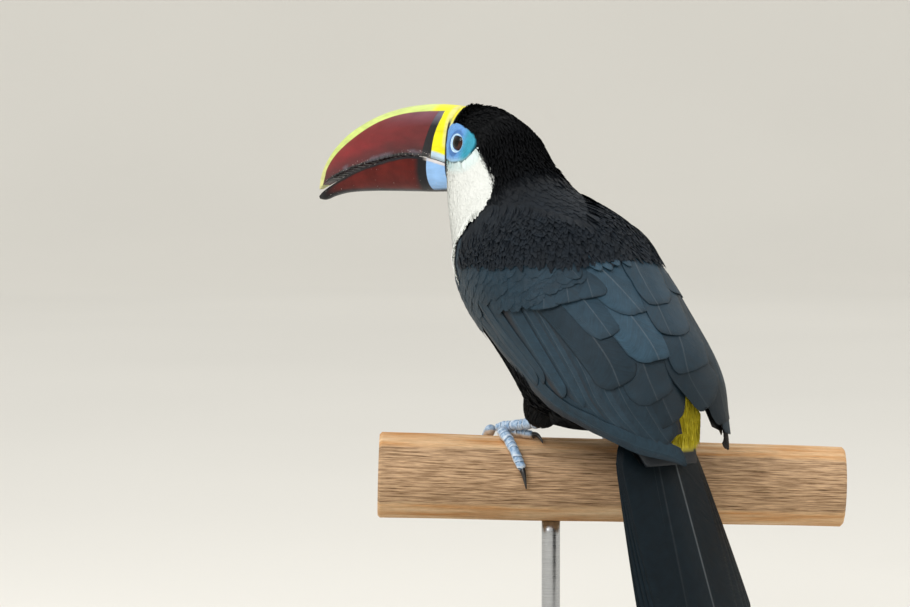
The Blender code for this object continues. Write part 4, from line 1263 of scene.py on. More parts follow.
def make_feet(settings):
    """Tarsi, toes and claws of both feet."""
    scute, horn = scute_material(settings), claw_material(settings)
    for side, foot in FEET.items():
        heel, ball = world(*foot["heel"]), perch(foot["at"], 0.0, TOE_BALL + GAP)
        share = np.linspace(0, 1, 70)
        path = heel + (ball - heel) * share[:, None]
        widths = TARSUS_RADIUS * (1.0 - 0.12 * np.sin(share * np.pi)) * (1 - 0.35 * smooth(0.85, 1.0, share))
        factor, ring, under = scutes(share, 40, 7, 0.13, 5)
        points, faces = capped_tube(tube(path, widths[:, None] * factor, 40, squash=0.85))
        values = scute_values(ring, under * 0.25)
        add_piece(f"shank_{side}", points, faces, values, scute, "scute", [f"tarsus_{side}"])
        for number, (reach, turn, radius) in TOES[side].items():
            share, path, widths, claw, claw_widths = toe_and_claw(foot["at"], reach, turn, radius)
            count = 9 if number in (3, 4) else 7
            factor, ring, under = scutes(share, 36, count, 0.15, 4)
            points, faces = capped_tube(tube(path, widths[:, None] * factor, 36))
            name = f"{side}_{number}"
            add_piece(f"scuted_toe_{name}", points, faces, scute_values(ring, under), scute, "scute",
                      [f"toe_{name}"])
            points, faces = capped_tube(tube(claw, claw_widths, 20, squash=0.8))
            add_piece(f"horn_claw_{name}", points, faces, {}, horn, "claw", [f"claw_{name}"])


def scute_values(ring, under):
    """Point values of a scuted tube, with its two end rows repeated for the caps."""
    rows = [np.concatenate([part[:1], part, part[-1:]]).ravel() for part in (ring, under)]
    return {"ring": rows[0], "under": rows[1]}


# ---- perch and stand ----
def make_perch(settings):
    """Perch: a grid along and round the bark, with grain, shallow dents and eased ends.

    Grain is a sum of sines round the branch whose phase wanders along it; the attribute
    grain holds metres along it and over its section.
    """
    bevel = 1.5
    inner = np.linspace(PERCH_LEFT + bevel, PERCH_RIGHT - bevel, 330)
    along = np.concatenate([[PERCH_LEFT], inner, [PERCH_RIGHT]])[:, None]
    sides, circles = 160, 14
    turn = full_turn(sides, -np.pi)
    lines = sum(np.sin(turn * k + phase + 0.9 * np.sin(along / 37 + k) + 0.3 * np.sin(along / 9 + 2 * k))
                for k, phase in ((17, 0.3), (29, 1.9), (43, 4.0))) / 3
    dents = np.sin(along / 31 + 2 * turn) * np.sin(along / 53 - turn + 1.0)
    relief = settings.relief / MM
    flank = smooth(0.3, 0.8, np.abs(turn)) * smooth(2.9, 2.3, np.abs(turn))
    lift = relief * (0.8 * lines * (0.35 + 0.65 * flank) + 0.8 * dents) - relief
    ends = ((PERCH_LEFT + bevel, PERCH_LEFT), (PERCH_RIGHT - bevel, PERCH_RIGHT))
    ease = bevel * sum(smooth(*end, along) for end in ends)
    points = perch(along, turn, lift - ease)
    weather = smooth(0.55, 0.95, np.abs(turn)) * smooth(2.35, 2.0, np.abs(turn)) + 0 * along
    section = np.stack([along + 0 * turn, PERCH_RADIUS * np.cos(turn) + 0 * along,
                        PERCH_RADIUS * np.sin(turn) + 0 * along], axis=-1) * MM
    finish = bark_material(settings)
    values = {"weather": weather.ravel(), "grain": section.reshape(-1, 3)}
    faces = grid_faces(len(along), sides, closed=True)
    add_piece("branch", points, faces, values, finish, "bark", ["perch"])
    rings = np.linspace(1, 0.002, circles)[:, None]
    for name, row in (("left", 0), ("right", -1)):
        hub = points[row].mean(axis=0)
        cut = hub + (points[row][None] - hub) * rings[..., None]
        faces = grid_faces(circles, sides, closed=True)[:, ::1 if name == "left" else -1]
        disc = np.stack([np.cos(turn) * rings, np.sin(turn) * rings], axis=-1) * PERCH_RADIUS * MM
        finish = end_grain_material(settings)
        add_piece(f"branch_end_{name}", cut, faces, {"round": disc.reshape(-1, 2)}, finish, "bark")


def turned(profile, sides=144):
    """Points and faces of a profile of (radius, height) rows turned about the rod's axis."""
    turn = full_turn(sides)
    centre = middle_of("stand_rod")
    radius, height = profile[:, :1], profile[:, 1:]
    points = np.stack([centre[0] + radius * np.cos(turn), centre[1] + radius * np.sin(turn),
                       height + 0 * turn], axis=-1)
    return points.reshape(-1, 3), grid_faces(len(profile), sides, closed=True)


def make_stand(settings):
    """Turned base with a cove and a rounded rim, and the rod."""
    low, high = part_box("stand_base")
    radius, top = (high.x - low.x) / 2, high.z
    edge, under, inset, half_groove, groove_depth = (size * MM for size in (3.0, 1.5, 12.0, 1.6, 1.2))
    corner, half_turn = np.linspace(0, np.pi / 2, 9)[:, None], np.linspace(0, np.pi, 11)[:, None]
    rim = np.hstack([radius - edge + edge * np.cos(corner), top - edge + edge * np.sin(corner)])
    foot = np.hstack([radius - under + under * np.sin(corner), under - under * np.cos(corner)])
    groove = np.hstack([radius - inset + half_groove * np.cos(half_turn),
                        top - groove_depth * np.sin(half_turn)])
    inside = np.array([[0.0105, top], [0.0100, top]])
    profile = np.concatenate([[[1e-5, 0.0]], foot, rim, groove, inside, [[1e-5, top]]])
    add_piece("stand_disc", *turned(profile), {}, base_material(settings), "wood_base", ["stand_base"])
    low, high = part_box("stand_rod")
    thick = (high.x - low.x) / 2
    steps = np.array([[1e-5, low.z], [thick, low.z], [thick, high.z], [1e-5, high.z]])
    rows = [np.linspace(steps[i], steps[i + 1], 12, endpoint=False) for i in range(3)]
    add_piece("stand_pole", *turned(np.concatenate(rows + [steps[-1:]]), 64), {}, steel_material(settings),
              "steel", ["stand_rod"])


# ---- coat ----
def grow(name, surface, roots, size, lift, colours, home, finish, slot, seed,
         tones=(0.12, 0.55, 1.12), **look):
    """One piece of small vanes from their roots, sizes, colours and places on the unwrap."""
    points, s, w = lay_vanes(surface, *roots, *size, lift, seed, **look)
    shades = shade_vanes(colours, s, w, seed + 1, *tones)
    add_piece(name, *vane_part(points, s, w, shades, home, size[1], size[0]), finish, slot)


def wing_cover(u, turn):
    """True where the folded wings hide the body, so that nothing needs to grow there."""
    hidden = np.zeros(turn.shape, bool)
    for shape in WINGS.values():
        steps = np.arange(WING_FIRST, WING_FIRST + len(shape["inner"]))
        own = turn * shape["sign"]
        inner, lower = (np.interp(u, steps, shape[edge]) for edge in ("inner", "lower"))
        hidden |= (own > inner + 6) & (own < lower - 14) & (u > 6.5) & (u < 11.6)
    return hidden


def tract(name, settings, u_range, spacing, size, seed, keep, finish, slot, high=0.15, deep=1.0, **look):
    """One tract of body plumage.

    Roots are scattered over the body; keep picks them by section, degrees from the back
    line, and whether their middles are in the bib.  size is (length, width), each one number
    or (at the bill, at the nape); high is the tips' lift, or a function of section and
    degrees; deep is the share of the coat's depth at which they start.
    """
    u, angle = scatter(body, u_range, (-np.pi, np.pi), *spacing, seed)
    place, turn = body(u, angle, 0.0), np.abs(np.degrees(angle))
    size = [np.interp(u, [0, 3.4], np.broadcast_to(part, 2)) for part in size]
    ahead = u + 0.6 * size[0] * MM / tangents(body, u, angle, 0.0)[3]
    edge, end = bib_border(ahead, turn)
    in_bib = (turn > edge) & (ahead < end)
    kept = keep(u, turn, in_bib) & (bare(place) < 0.35) & ~wing_cover(u, np.degrees(angle))
    u, angle, ahead = u[kept], angle[kept], ahead[kept]
    size = [part[kept] for part in size]
    home = np.stack([angle / (2 * np.pi) + 0.5, u / (len(BODY) - 1) * 0.98 + 0.01], axis=-1)
    tips = high(u, np.abs(np.degrees(angle))) if callable(high) else high
    lift = (-deep * COAT_DEPTH * smooth(0.05, 0.8, u) - 0.1, tips * smooth(-0.2, 0.5, u))
    colours = body_colour(body(ahead, angle, 0.0), ahead, angle, settings)
    grow(name, body, (u, angle), size, lift, colours, home, finish, slot, seed + 1, **look)


def over_shoulder(u, turn):
    """Millimetres by which the bib's feathers rise where they lie over the bend of the wing."""
    return 3.4 * smooth(5.15, 5.5, u) * smooth(68, 80, turn) * smooth(128, 108, turn)


def make_head_coat(settings):
    """Velvety crown, nape and hind neck, and the silky white bib."""
    velvet = plumage("black_feather", 0.72, 0.22, 0.8, 0.35, 0.2)
    silk = plumage("white_feather", 0.72, 0.6, 0.8, 0.08, 0.03, mottle=0.02)
    short, white = settings.head_tuft / MM, settings.bib_tuft / MM
    fine = {"rows": 4, "columns": 4, "rounding": 0.4, "fray": 0.20, "spread": 0.7, "narrow": 0.4,
            "tones": (0.08, 0.7, 1.08)}
    soft = {"rows": 4, "columns": 5, "rounding": 0.3, "fray": 0.10, "spread": 0.8, "narrow": 0.15}
    tract("coat_crown", settings, (FOREHEAD, 2.6), (1.3, 1.5), ((2.4, short), (1.5, 2.2)), 11,
          lambda u, turn, in_bib: ~in_bib, velvet, "black_feather",
          high=lambda u, turn: np.interp(u, [0.3, 0.9, 1.5], [0.6, -0.7, -1.3]), ruffle=0.4, **fine)
    tract("coat_nape", settings, (2.6, 5.8), (2.0, 1.9), (short * 1.35, 2.6), 21,
          lambda u, turn, in_bib: ~in_bib, velvet, "black_feather",
          high=lambda u, turn: np.interp(u, [2.8, 3.8, 5.0, 5.6], [-1.2, 1.0, 0.6, -0.6]),
          ruffle=0.3, **fine)
    tract("coat_bib", settings, (0.04, 6.35), (1.7, 1.5), ((2.2, white), (2.0, 4.0)), 31,
          lambda u, turn, in_bib: in_bib, silk, "white_feather", high=over_shoulder, deep=0.35, camber=0.05,
          ruffle=0.05, tones=(0.015, 0.97, 1.01), **soft)


def make_body_coat(settings):
    """Mantle, breast band and belly, loose flanks, rump and vent, and the thighs."""
    loose = plumage("mantle_feather", 0.60, 0.40, 0.9, 0.25, 0.18)
    long = settings.body_tuft / MM
    hairy = {"rows": 5, "columns": 4, "rounding": 0.4, "fray": 0.25, "spread": 0.7, "narrow": 0.55}
    smoothed = {"rows": 5, "columns": 5, "rounding": 0.35, "fray": 0.10, "spread": 0.7, "narrow": 0.15}
    tract("coat_mantle", settings, (5.2, 8.6), (3.0, 3.2), (long, 5.5), 41,
          lambda u, turn, in_bib: ~in_bib & (turn < 100), loose, "black_feather", high=-0.2, deep=0.5,
          camber=0.12, tones=(0.08, 0.82, 1.05), **smoothed)
    tract("coat_back", settings, (8.4, 11.35), (4.0, 3.6), (long, 5.2), 51,
          lambda u, turn, in_bib: turn < 95, loose, "black_feather", rows=5, columns=5, fray=0.2)
    tract("coat_belly", settings, (5.7, 11.9), (3.0, 2.6), (long * 0.9, 3.6), 61,
          lambda u, turn, in_bib: ~in_bib & (turn >= 80), loose, "black_feather",
          high=lambda u, turn: np.interp(u, [5.8, 6.6, 8.2, 9.2, 9.8, 10.4], [0.3, 0.6, 0.7, 1.7, 1.5, 0.0]),
          **hairy)
    tract("coat_flank", settings, (10.3, 12.0), (4.0, 2.6), (long, 1.4), 71,
          lambda u, turn, in_bib: turn > 100, loose, "black_feather", high=1.0, droop=2.6, **hairy)
    bright = plumage("rump_feather", 0.70, 0.5, 0.8, 0.35, 0.10, mottle=0.10)
    tract("coat_rump", settings, (11.2, 12.5), (1.8, 1.6), (long * 0.95, 1.9), 81,
          lambda u, turn, in_bib: (turn < 100) & (u < np.interp(turn, [45, 76, 92], [12.45, 12.2, 11.75])),
          bright, "rump_feather", tones=(0.08, 0.7, 1.05), **hairy)
    tract("coat_vent", settings, (11.8, 13.0), (2.4, 2.2), (long * 0.8, 2.8), 91,
          lambda u, turn, in_bib: turn >= 98, bright, "vent_feather", tones=(0.08, 0.7, 1.05), **hairy)
    for number, side in enumerate(FEET):
        surface = thigh(side)
        step, angle = scatter(surface, (-0.8, 0.97), (0, 2 * np.pi), 2.2, 2.0, 101 + number)
        size = (9.0 - 3.0 * smooth(0.4, 1.0, step), 2.8 + 0 * step)
        home = np.stack([angle / (2 * np.pi) * 0.98 + 0.01, step * 0.49 + 0.5], axis=-1)
        base = plain(settings.black, len(step))
        grow(f"coat_thigh_{side}", surface, (step, angle), size, (-COAT_DEPTH, 0.2), base, home, loose,
             "black_feather", 111 + number, **hairy)


# ---- wings ----
# the broad inner feathers, topmost first: tip and root (span, chord), width, tone, shaft's lean;
# tone scales the slate colour's painted sheen, brightest on the left wing's top feathers and
# lower on the right wing as painted shade
TERTIALS = {
    "left": [((0.465, 0.06), (0.08, 0.10), 44, 0.95, 0.0), ((0.585, 0.15), (0.10, 0.14), 44, 1.00, 0.0),
             ((0.495, 0.36), (0.10, 0.24), 30, 0.66, 0.0), ((0.63, 0.50), (0.14, 0.36), 36, 0.42, 0.0),
             ((0.72, 0.28), (0.14, 0.24), 42, 0.36, 0.0), ((0.81, 0.22), (0.16, 0.26), 44, 0.28, 0.0),
             ((0.89, 0.50), (0.20, 0.36), 34, 0.25, 0.0)],
    "right": [((0.45, 0.04), (0.10, -0.16), 38, 0.68, -0.34),
              ((0.522, 0.035), (0.12, 0.16), 42, 0.66, -0.35),
              ((0.64, 0.05), (0.14, 0.25), 46, 0.46, -0.28), ((0.775, 0.0), (0.14, 0.20), 46, 0.32, -0.20),
              ((0.83, 0.30), (0.16, 0.36), 44, 0.22, 0.0)],
}
# the same for the greater coverts, and for the small feathers over the wing's inner corner;
# their tones scale the same painted sheen
COVERTS = [((0.41, 0.28), 26, 0.62), ((0.40, 0.42), 26, 0.62), ((0.385, 0.57), 27, 0.60),
           ((0.33, 0.74), 27, 0.58), ((0.24, 0.92), 28, 0.55)]
CORNER = [((0.352, 0.09), 13, 0.95), ((0.355, 0.02), 13, 1.00), ((0.345, -0.06), 13, 0.85),
          ((0.35, -0.14), 12, 0.75), ((0.357, 0.25), 18, 0.50)]
# tip and root of each secondary, outermost first
SECONDARIES = [((0.49, 1.05), (0.22, 0.91)), ((0.50, 0.99), (0.24, 0.84)), ((0.56, 0.94), (0.27, 0.70)),
               ((0.63, 0.88), (0.29, 0.62)), ((0.70, 0.86), (0.31, 0.56)), ((0.77, 0.82), (0.32, 0.50)),
               ((0.83, 0.74), (0.33, 0.44)), ((0.87, 0.62), (0.34, 0.38)), ((0.88, 0.45), (0.34, 0.30))]
PRIMARIES = 6
# where the small coverts end and where the mantle's edge lies: spans at chords
COVERT_LINE = ([0.20, 0.46, 0.65, 0.76, 0.90, 1.05, 1.2], [0.40, 0.40, 0.36, 0.285, 0.295, 0.325, 0.325])
BIB_LINE = ([-0.6, -0.3, 0.9, 1.0], [0.0, 0.034, 0.045, 0.085])      # the wing's front, under the bib
MANTLE_LINE = ([-0.30, -0.08, 0.10, 0.25, 0.30, 0.45, 0.60, 1.0],
               [0.33, 0.323, 0.325, 0.30, 0.268, 0.238, 0.18, 0.07])


def shade_quills(base, s, w, seed, settings, line=0.45, outline=0.45, worn=0.0):
    """Colours of large feathers: a thin dark outline, a paler rim inside it and a pale shaft.

    line is the shaft's share of its own colour, worn that of brown on the outer vane.  The
    dark outline is painted shadow, the paler rim painted highlight, and each feather is also
    painted darker towards its covered root, as shade.
    """
    rng = np.random.default_rng(seed)
    line, outline, worn = per_vane(len(base), line, outline, worn)
    edge = np.maximum(np.abs(w), s)
    # painted shade: darker towards the root, where other feathers cover it; 6 % lighter towards w = 1
    tone = rng.normal(1.0, 0.06, (len(base), 1, 1)) * (0.75 + 0.25 * smooth(0.0, 0.5, s)) * (1 + 0.06 * w)
    # painted highlight just inside the edge, and a painted shadow line along it
    tone = tone * (1 + 0.08 * smooth(0.74, 0.93, edge) - outline * smooth(0.955, 1.0, edge))
    patchy = 0.75 + 0.25 * np.sin(9 * s + rng.uniform(0, 6, (len(base), 1, 1)))
    colours = blend(np.asarray(base, float)[:, None, None, :] + 0 * w[..., None], settings.brown,
                    worn * patchy * smooth(0.10, 0.34, w))
    shaft = line * np.exp(-(w / 0.02) ** 2) * (1 - 0.5 * s)
    return blend(colours * tone[..., None], settings.shaft, shaft)


def quill_piece(name, surface, groups, finish, slot, settings, replaced=()):
    """Join groups of large feathers; each one's patch of the map is a strip of its own."""
    total = sum(len(group["tip"]) for group in groups)
    parts, done = [], 0
    for group in groups:
        colours, count = group.pop("colour"), len(group["tip"])
        look = {key: group.pop(key) for key in ("line", "outline", "worn") if key in group}
        points, s, w = lay_quills(surface, **group)
        length = np.linalg.norm(points[:, -1, 7] - points[:, 0, 7], axis=-1) / MM
        shades = shade_quills(colours, s, w, group["seed"] + 1, settings, **look)
        home = np.stack([(done + np.arange(count) + 0.5) / total, np.full(count, 0.5)], axis=-1)
        width = np.broadcast_to(group["width"], (count,))
        patch = np.array([0.9 / total, 0.94])
        parts.append(vane_part(points, s, w, shades, home, width, length, patch))
        done += count
    piece = add_piece(name, *join(parts), finish, slot, replaced)
    thick = piece.modifiers.new("vane_thickness", "SOLIDIFY")
    thick.thickness = 0.25 * MM
    thick.offset = -1.0


def wing_shell(side, settings):
    """Dark plate under the feathers: it closes the wing from below."""
    surface = wing(side)
    span = np.linspace(0.07, 0.84, 40)[:, None]
    chord = np.linspace(0.05, 0.95, 24)[None, :]
    swell = np.sin(np.pi * chord) ** 0.6 * (1 - 0.55 * span)
    upper = surface(span, chord, -5.0 + 0 * span * chord)
    lower = surface(span, chord, -5.2 - 4.0 * swell + 1.2 * span)
    points, faces = capped_tube(np.concatenate([upper, lower[:, ::-1]], axis=1))
    if side == "left":
        faces = faces[:, ::-1]
    return points, faces, {"plumage": plain(settings.black, len(points)) * 1.3}


def flight_feathers(side, settings):
    """The large feathers of a folded wing, undermost first."""
    # the tones below scale the slate colour's painted sheen; the right wing's lower tones are painted shade
    slate, brown = (np.array(tone)[:3] for tone in (settings.slate, settings.brown))
    left = side == "left"
    raised = 0.0 if left else 1.6
    order = np.linspace(0, 1, PRIMARIES)
    root_chords, tip_chords = (1.14 - 0.26 * order, 0.80 - 0.25 * order) if left \
        else (0.95 - 0.35 * order, 0.6 - 0.3 * order)
    edge = 5.4 * (1 - order) ** 2 if left else 0.0
    primaries = {
        "root": np.column_stack([0.14 + 0.16 * order, root_chords]),
        "tip": np.column_stack([0.99 - 0.12 * order, tip_chords]), "width": 15.0 - raised,
        "lift": (-4.6 + 1.4 * order + raised + edge, -3.0 + 1.0 * order + raised + 0.42 * edge),
        "colour": plain(slate * 0.55 if left else brown * 0.5, PRIMARIES), "worn": 0.45, "line": 0.10,
        "rounding": 0.07, "point": 1.8, "bow": 0.095 - 0.055 * order,
    }
    tips, roots = (np.array(column) for column in zip(*SECONDARIES))
    order = np.linspace(0, 1, len(tips))
    first = np.clip(3.6 - 9.0 * order, 0, None) if left else 0.0
    secondaries = {
        "root": roots, "tip": tips, "width": 15.0 + 6.0 * order,
        "lift": (-3.2 + 1.4 * order + raised + first, -2.2 + 1.2 * order + raised + 0.7 * first),
        "colour": slate * (0.70 - 0.25 * order)[:, None], "line": 0.15, "outline": 0.40,
        "worn": np.array([0.3, 0.4, 0.7, 0.8, 0.8, 0.5, 0.3, 0.15, 0.0]),
        "rounding": 0.07, "bow": 0.035 * (1 - order),
    }
    tips, roots, widths, tones, leans = (np.array(column, float) for column in zip(*TERTIALS[side][::-1]))
    order = np.linspace(0, 1, len(tips))
    tertials = {
        "root": roots, "tip": tips, "width": widths, "colour": slate * tones[:, None], "lean": leans,
        "lift": (-2.6 + 1.0 * order, -1.2 + 1.5 * raised + (1.7 - 0.9 * raised) * order),
        "line": 0.10 + 0.25 * order, "outline": 0.20 + 0.25 * order, "rounding": 0.10, "point": 4.0,
    }
    tips, widths, tones = (np.array(column, float) for column in zip(*COVERTS))
    order = np.linspace(0, 1, len(tips))
    outer = (tips[:, 1] - 0.28) / 0.66
    coverts = {
        "root": tips - np.column_stack([0.14 - 0.07 * outer, 0.20 + 0.14 * outer]), "tip": tips,
        "width": widths, "lift": (-1.6 + 0 * order, 0.9 - 0.3 * order), "colour": slate * tones[:, None],
        "line": 0.22, "outline": 0.35, "rounding": 0.08, "point": 4.0, "rows": 16,
    }
    falls = np.array([0.0, 0.1, 0.6, 1.0])
    wrist = {
        "root": np.array([[0.12, 1.08], [0.12, 1.00], [0.11, 0.93], [0.13, 0.86]]),
        "tip": np.array([[0.35, 1.12], [0.38, 1.04], [0.39, 0.96], [0.37, 0.87]]),
        "width": 17.0, "lift": (-0.9 - 1.7 * falls, 0.5 - 2.1 * falls), "colour": plain(slate * 0.5, 4),
        "line": 0.10, "outline": 0.35, "rounding": 0.10, "point": 3.0,
    }
    tips, widths, tones = (np.array(column, float) for column in zip(*CORNER))
    corner = {
        "root": tips - [0.11, 0.05], "tip": tips, "width": widths, "lift": (0.0, 1.4),
        "colour": slate * tones[:, None], "line": 0.20, "outline": 0.30, "rounding": 0.30, "point": 2.2,
        "rows": 14,
    }
    groups = [primaries, secondaries, tertials, wrist, coverts] + ([corner] if left else [])
    for number, group in enumerate(groups):
        group["seed"] = 201 + 10 * number
    return groups


def make_wings(settings):
    """Each folded wing: shell, flight feathers, coverts, and the mantle's shaggy edge over them."""
    vane = plumage("wing_feather", 0.50, 0.45, 0.9, 0.5, 0.16, mottle=0.12)
    loose = plumage("scapular_feather", 0.60, 0.40, 0.9, 0.25, 0.18)
    slate = np.array(settings.slate)[:3]
    for number, side in enumerate(WINGS):
        surface, left, seed = wing(side), side == "left", 301 + 50 * number
        add_piece(f"wing_shell_{side}", *wing_shell(side, settings), bare_skin_material(), "black_feather")
        large = flight_feathers(side, settings)
        quill_piece(f"flight_{side}", surface, large, vane, "wing_feather", settings, [f"wing_{side}"])
        span, chord = scatter(surface, (0.0, 0.36), (-0.3, 1.25 if left else 1.0), 5.0, 5.5, seed)
        ending, mantle, bib = (np.interp(chord, *line) for line in (COVERT_LINE, MANTLE_LINE, BIB_LINE))
        kept = (span < ending - 0.11) & (span > mantle - 0.12) & (span > bib)
        kept &= chord > (0.10 if left else 0.60)
        span, chord = span[kept], chord[kept]
        size = (15.0 + 6.0 * smooth(0.05, 0.25, span), 9.0 + 3.0 * smooth(0.05, 0.25, span))
        home = np.stack([chord * 0.60 + 0.24, span * 0.95 + 0.02], axis=-1)
        # the coverts' slate and the scapulars' mantle colour carry painted sheen; tones add painted shade at
        # each vane's root and a painted highlight at its edge
        low, base = 0.0 if left else 1.2, plain(slate * 0.52, len(span))
        grow(f"coverts_{side}", surface, (span, chord), size, (-0.8 - low, 0.6 - low), base, home, vane,
             "wing_feather", seed + 10, tones=(0.06, 0.8, 1.04), rows=8, columns=7, rounding=0.14,
             fray=0.03, camber=0.2, turn=0.75)
        span, chord = scatter(surface, (0.0, 0.36), (-0.3 if left else -0.6, 1.0), 3.0, 3.0, seed + 20)
        kept = (span < np.interp(chord, *MANTLE_LINE) - 0.035) & (span > np.interp(chord, *BIB_LINE))
        span, chord = span[kept], chord[kept]
        size = (settings.body_tuft / MM + 0 * span, 5.5 + 0 * span)
        high = (1.5 if left else 1.0 - 2.4 * smooth(0.3, 0.5, chord)) * smooth(0.02, 0.10, span)
        home = np.stack([chord * 0.60 + 0.38, span * 0.95 + 0.02], axis=-1)
        base = plain(settings.mantle, len(span))
        grow(f"scapulars_{side}", surface, (span, chord), size, (-1.0, high), base, home, loose,
             "black_feather", seed + 30, tones=(0.09, 0.80, 1.05), rows=5, columns=5, rounding=0.4,
             fray=0.14, spread=0.7, narrow=0.2, camber=0.12, turn=0.7 * smooth(0.9, 0.2, chord))


def make_tail(settings):
    """Ten tail feathers, the right one of the middle pair on top, laid along the roof."""
    vane = plumage("tail_feather", 0.50, 0.24, 1.0, 0.4, 0.12, mottle=0.15)
    place = np.array([-0.96, 0.69, -0.86, 0.58, -0.74, 0.46, -0.60, 0.34, 0.22, -0.27])
    rank = np.linspace(0, 1, len(place))
    group = {
        "root": np.column_stack([-0.12 + 0 * place, place * 0.80 - 0.02]),
        "tip": np.column_stack([0.965 + 0.03 * rank, place]),
        "width": np.array([26, 26, 32, 34, 38, 40, 42, 46, 52, 58.0]), "line": 0.06 + 0.4 * (rank == 1.0),
        "lift": (-2.6 + 2.4 * rank, -2.6 + 2.6 * rank), "colour": plain(settings.tail, len(place)),
        "rounding": 0.08, "point": 2.6, "seed": 401, "rows": 26, "curl": 0.5,
    }
    quill_piece("tail_feathers", tail, [group], vane, "tail_feather", settings, ["tail"])


# ---- stage ----
def make_stage(settings):
    """Pale floor that curves up far away into a backdrop all round, lamps and the camera."""
    made, tree, shader = new_material("stage_paint")
    place = node(tree, "TexCoord").outputs["Object"]
    cloud = node(tree, "TexNoise", Vector=place, Scale=0.8, Detail=2.0)
    tone = node(tree, "MapRange", Value=cloud, **MIDDLE, To_Min=0.98, To_Max=1.02)
    tinted = node(tree, "MixRGB", TINT, Fac=1.0, Color1=settings.floor, Color2=tone)
    wire(tree, shader, Base_Color=tinted, Roughness=0.9)
    flat, cove, top = 6.0, 3.0, 3.5      # metres
    bend = np.linspace(0, np.pi / 2, 14)[:, None]
    curved = np.hstack([flat + cove * np.sin(bend), cove - cove * np.cos(bend)])
    points, faces = turned(np.concatenate([[[0.001, 0.0]], curved, [[flat + cove, top]]]), 96)
    mesh = bpy.data.meshes.new("stage")
    mesh.from_pydata(points.tolist(), [], faces[:, ::-1].tolist())
    mesh.shade_smooth()
    mesh.materials.append(made)
    stage = bpy.data.objects.new("stage", mesh)
    bpy.context.scene.collection.objects.link(stage)
    bpy.context.scene.view_settings.view_transform = "Standard"
    add_lamps(settings)
    add_camera()


def add_lamps(settings):
    """A soft lamp high at the camera's left, a small one for the eye, one behind, and even light."""
    aim = Vector(ORIGIN + np.array([0, 0.02, 0.09]))
    lamps = (("key", (1.5, 0.4, 1.7), 1.1, 1.0), ("glint", (1.7, 0.2, 0.9), 0.08, 0.16),
             ("rim", (-1.3, 0.9, 1.5), 1.0, 0.28))
    for name, place, size, share in lamps:
        lamp = bpy.data.lights.new(name, "AREA")
        lamp.energy = settings.lamp * share
        lamp.size = size
        holder = bpy.data.objects.new(name, lamp)
        holder.location = Vector(ORIGIN) + Vector(place)
        holder.rotation_euler = (holder.location - aim).to_track_quat("Z", "Y").to_euler()
        bpy.context.scene.collection.objects.link(holder)
    sky = bpy.data.worlds.new("even_light")
    sky.use_nodes = True
    wire(sky.node_tree, sky.node_tree.nodes["Background"], Color=srgb("#F4F4F2"), Strength=1.0)
    bpy.context.scene.world = sky


def add_camera():
    """Camera behind the bird's left shoulder, three degrees above the level, 2.4 m away."""
    round_turn, above = math.radians(50), math.radians(3)
    distance, aside, aloft = 2400.0, -62.4, 86.8      # mm back from the view's middle, and its place
    right = np.array([-math.sin(round_turn), math.cos(round_turn), 0.0])
    level = np.array([-math.cos(round_turn), -math.sin(round_turn), 0.0])
    ahead = level * math.cos(above) - np.array([0, 0, math.sin(above)])
    upward = level * math.sin(above) + np.array([0, 0, math.cos(above)])
    centre = ORIGIN + MM * (aside * right + aloft * upward - distance * ahead)
    lens = bpy.data.cameras.new("camera")
    lens.lens = 146.07
    lens.sensor_width = 36.0
    lens.clip_start = 0.05
    camera = bpy.data.objects.new("camera", lens)
    turn = Matrix((right, upward, -ahead)).transposed().to_4x4()
    camera.matrix_world = Matrix.Translation(Vector(centre)) @ turn
    bpy.context.scene.collection.objects.link(camera)
    bpy.context.scene.camera = camera


# ---- operators, panel and main ----
class TOUCAN_OT_skin(bpy.types.Operator):
    """Make the skin with its lids, and the eyes."""

    bl_idname = "toucan.skin"
    bl_label = "Skin and eyes"

    def execute(self, context):
        make_skin(context.scene.toucan_plumage)
        make_eyes(context.scene.toucan_bill)
        return {"FINISHED"}


class TOUCAN_OT_bill(bpy.types.Operator):
    """Make both halves of the bill."""

    bl_idname = "toucan.bill"
    bl_label = "Bill"

    def execute(self, context):
        make_bill(context.scene.toucan_bill)
        return {"FINISHED"}


class TOUCAN_OT_head_coat(bpy.types.Operator):
    """Make the plumage of the head and neck."""

    bl_idname = "toucan.head_coat"
    bl_label = "Head plumage"

    def execute(self, context):
        make_head_coat(context.scene.toucan_plumage)
        return {"FINISHED"}


class TOUCAN_OT_body_coat(bpy.types.Operator):
    """Make the plumage of the body and the thighs."""

    bl_idname = "toucan.body_coat"
    bl_label = "Body plumage"

    def execute(self, context):
        make_body_coat(context.scene.toucan_plumage)
        return {"FINISHED"}


class TOUCAN_OT_wings(bpy.types.Operator):
    """Make the folded wings."""

    bl_idname = "toucan.wings"
    bl_label = "Wings"

    def execute(self, context):
        make_wings(context.scene.toucan_plumage)
        return {"FINISHED"}


class TOUCAN_OT_tail(bpy.types.Operator):
    """Make the tail feathers."""

    bl_idname = "toucan.tail"
    bl_label = "Tail"

    def execute(self, context):
        make_tail(context.scene.toucan_plumage)
        return {"FINISHED"}


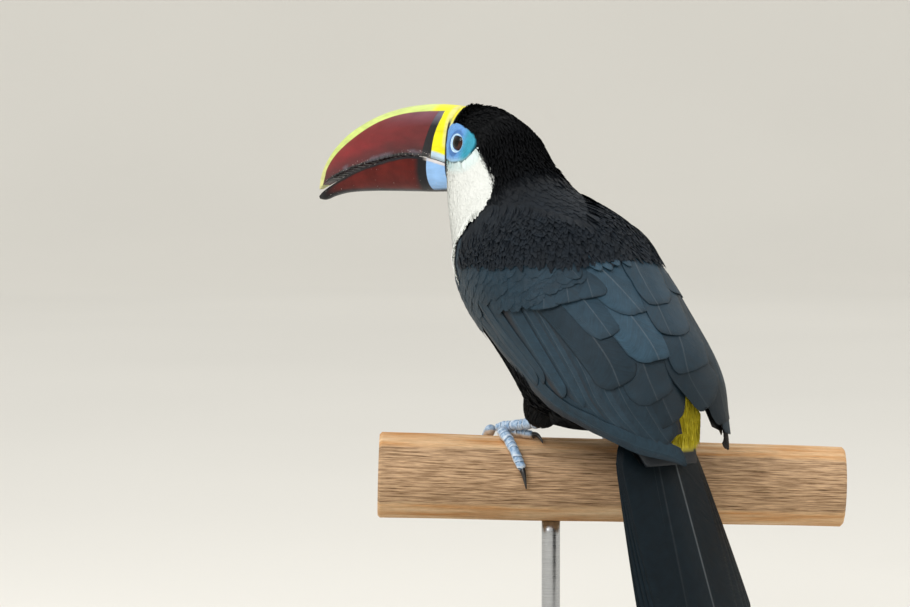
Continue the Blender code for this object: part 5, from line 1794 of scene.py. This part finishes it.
class TOUCAN_OT_feet(bpy.types.Operator):
    """Make the scuted legs and toes, and the claws."""

    bl_idname = "toucan.feet"
    bl_label = "Feet"

    def execute(self, context):
        make_feet(context.scene.toucan_feet)
        return {"FINISHED"}


class TOUCAN_OT_stand(bpy.types.Operator):
    """Make the perch and its stand."""

    bl_idname = "toucan.stand"
    bl_label = "Perch and stand"

    def execute(self, context):
        make_perch(context.scene.toucan_stand)
        make_stand(context.scene.toucan_stand)
        return {"FINISHED"}


class TOUCAN_OT_stage(bpy.types.Operator):
    """Make the floor, the lamps and the camera."""

    bl_idname = "toucan.stage"
    bl_label = "Stage"

    def execute(self, context):
        make_stage(context.scene.toucan_stand)
        return {"FINISHED"}


GROUPS = {"toucan_plumage": PlumageSettings, "toucan_bill": BillSettings,
          "toucan_feet": FootSettings, "toucan_stand": StandSettings}
STEPS = (TOUCAN_OT_skin, TOUCAN_OT_bill, TOUCAN_OT_head_coat, TOUCAN_OT_body_coat, TOUCAN_OT_wings,
         TOUCAN_OT_tail, TOUCAN_OT_feet, TOUCAN_OT_stand, TOUCAN_OT_stage)


class TOUCAN_PT_panel(bpy.types.Panel):
    """Lists the pieces and their settings."""

    bl_label = "Toucan"
    bl_idname = "TOUCAN_PT_panel"
    bl_space_type = "VIEW_3D"
    bl_region_type = "UI"
    bl_category = "Toucan"

    def draw(self, context):
        for step in STEPS:
            self.layout.operator(step.bl_idname)
        for group in GROUPS:
            box = self.layout.box()
            settings = getattr(context.scene, group)
            for name in GROUPS[group].__annotations__:
                box.prop(settings, name)


def register():
    """Register the settings, the operators and the panel."""
    for kind in (*GROUPS.values(), *STEPS, TOUCAN_PT_panel):
        bpy.utils.register_class(kind)
    for name, kind in GROUPS.items():
        setattr(bpy.types.Scene, name, PointerProperty(type=kind))


def unregister():
    """Undo register."""
    for name in GROUPS:
        delattr(bpy.types.Scene, name)
    for kind in (TOUCAN_PT_panel, *STEPS[::-1], *GROUPS.values()):
        bpy.utils.unregister_class(kind)


def main():
    """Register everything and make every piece."""
    register()
    for step in STEPS:
        group, name = step.bl_idname.split(".")
        getattr(getattr(bpy.ops, group), name)()


if __name__ == "__main__":
    main()
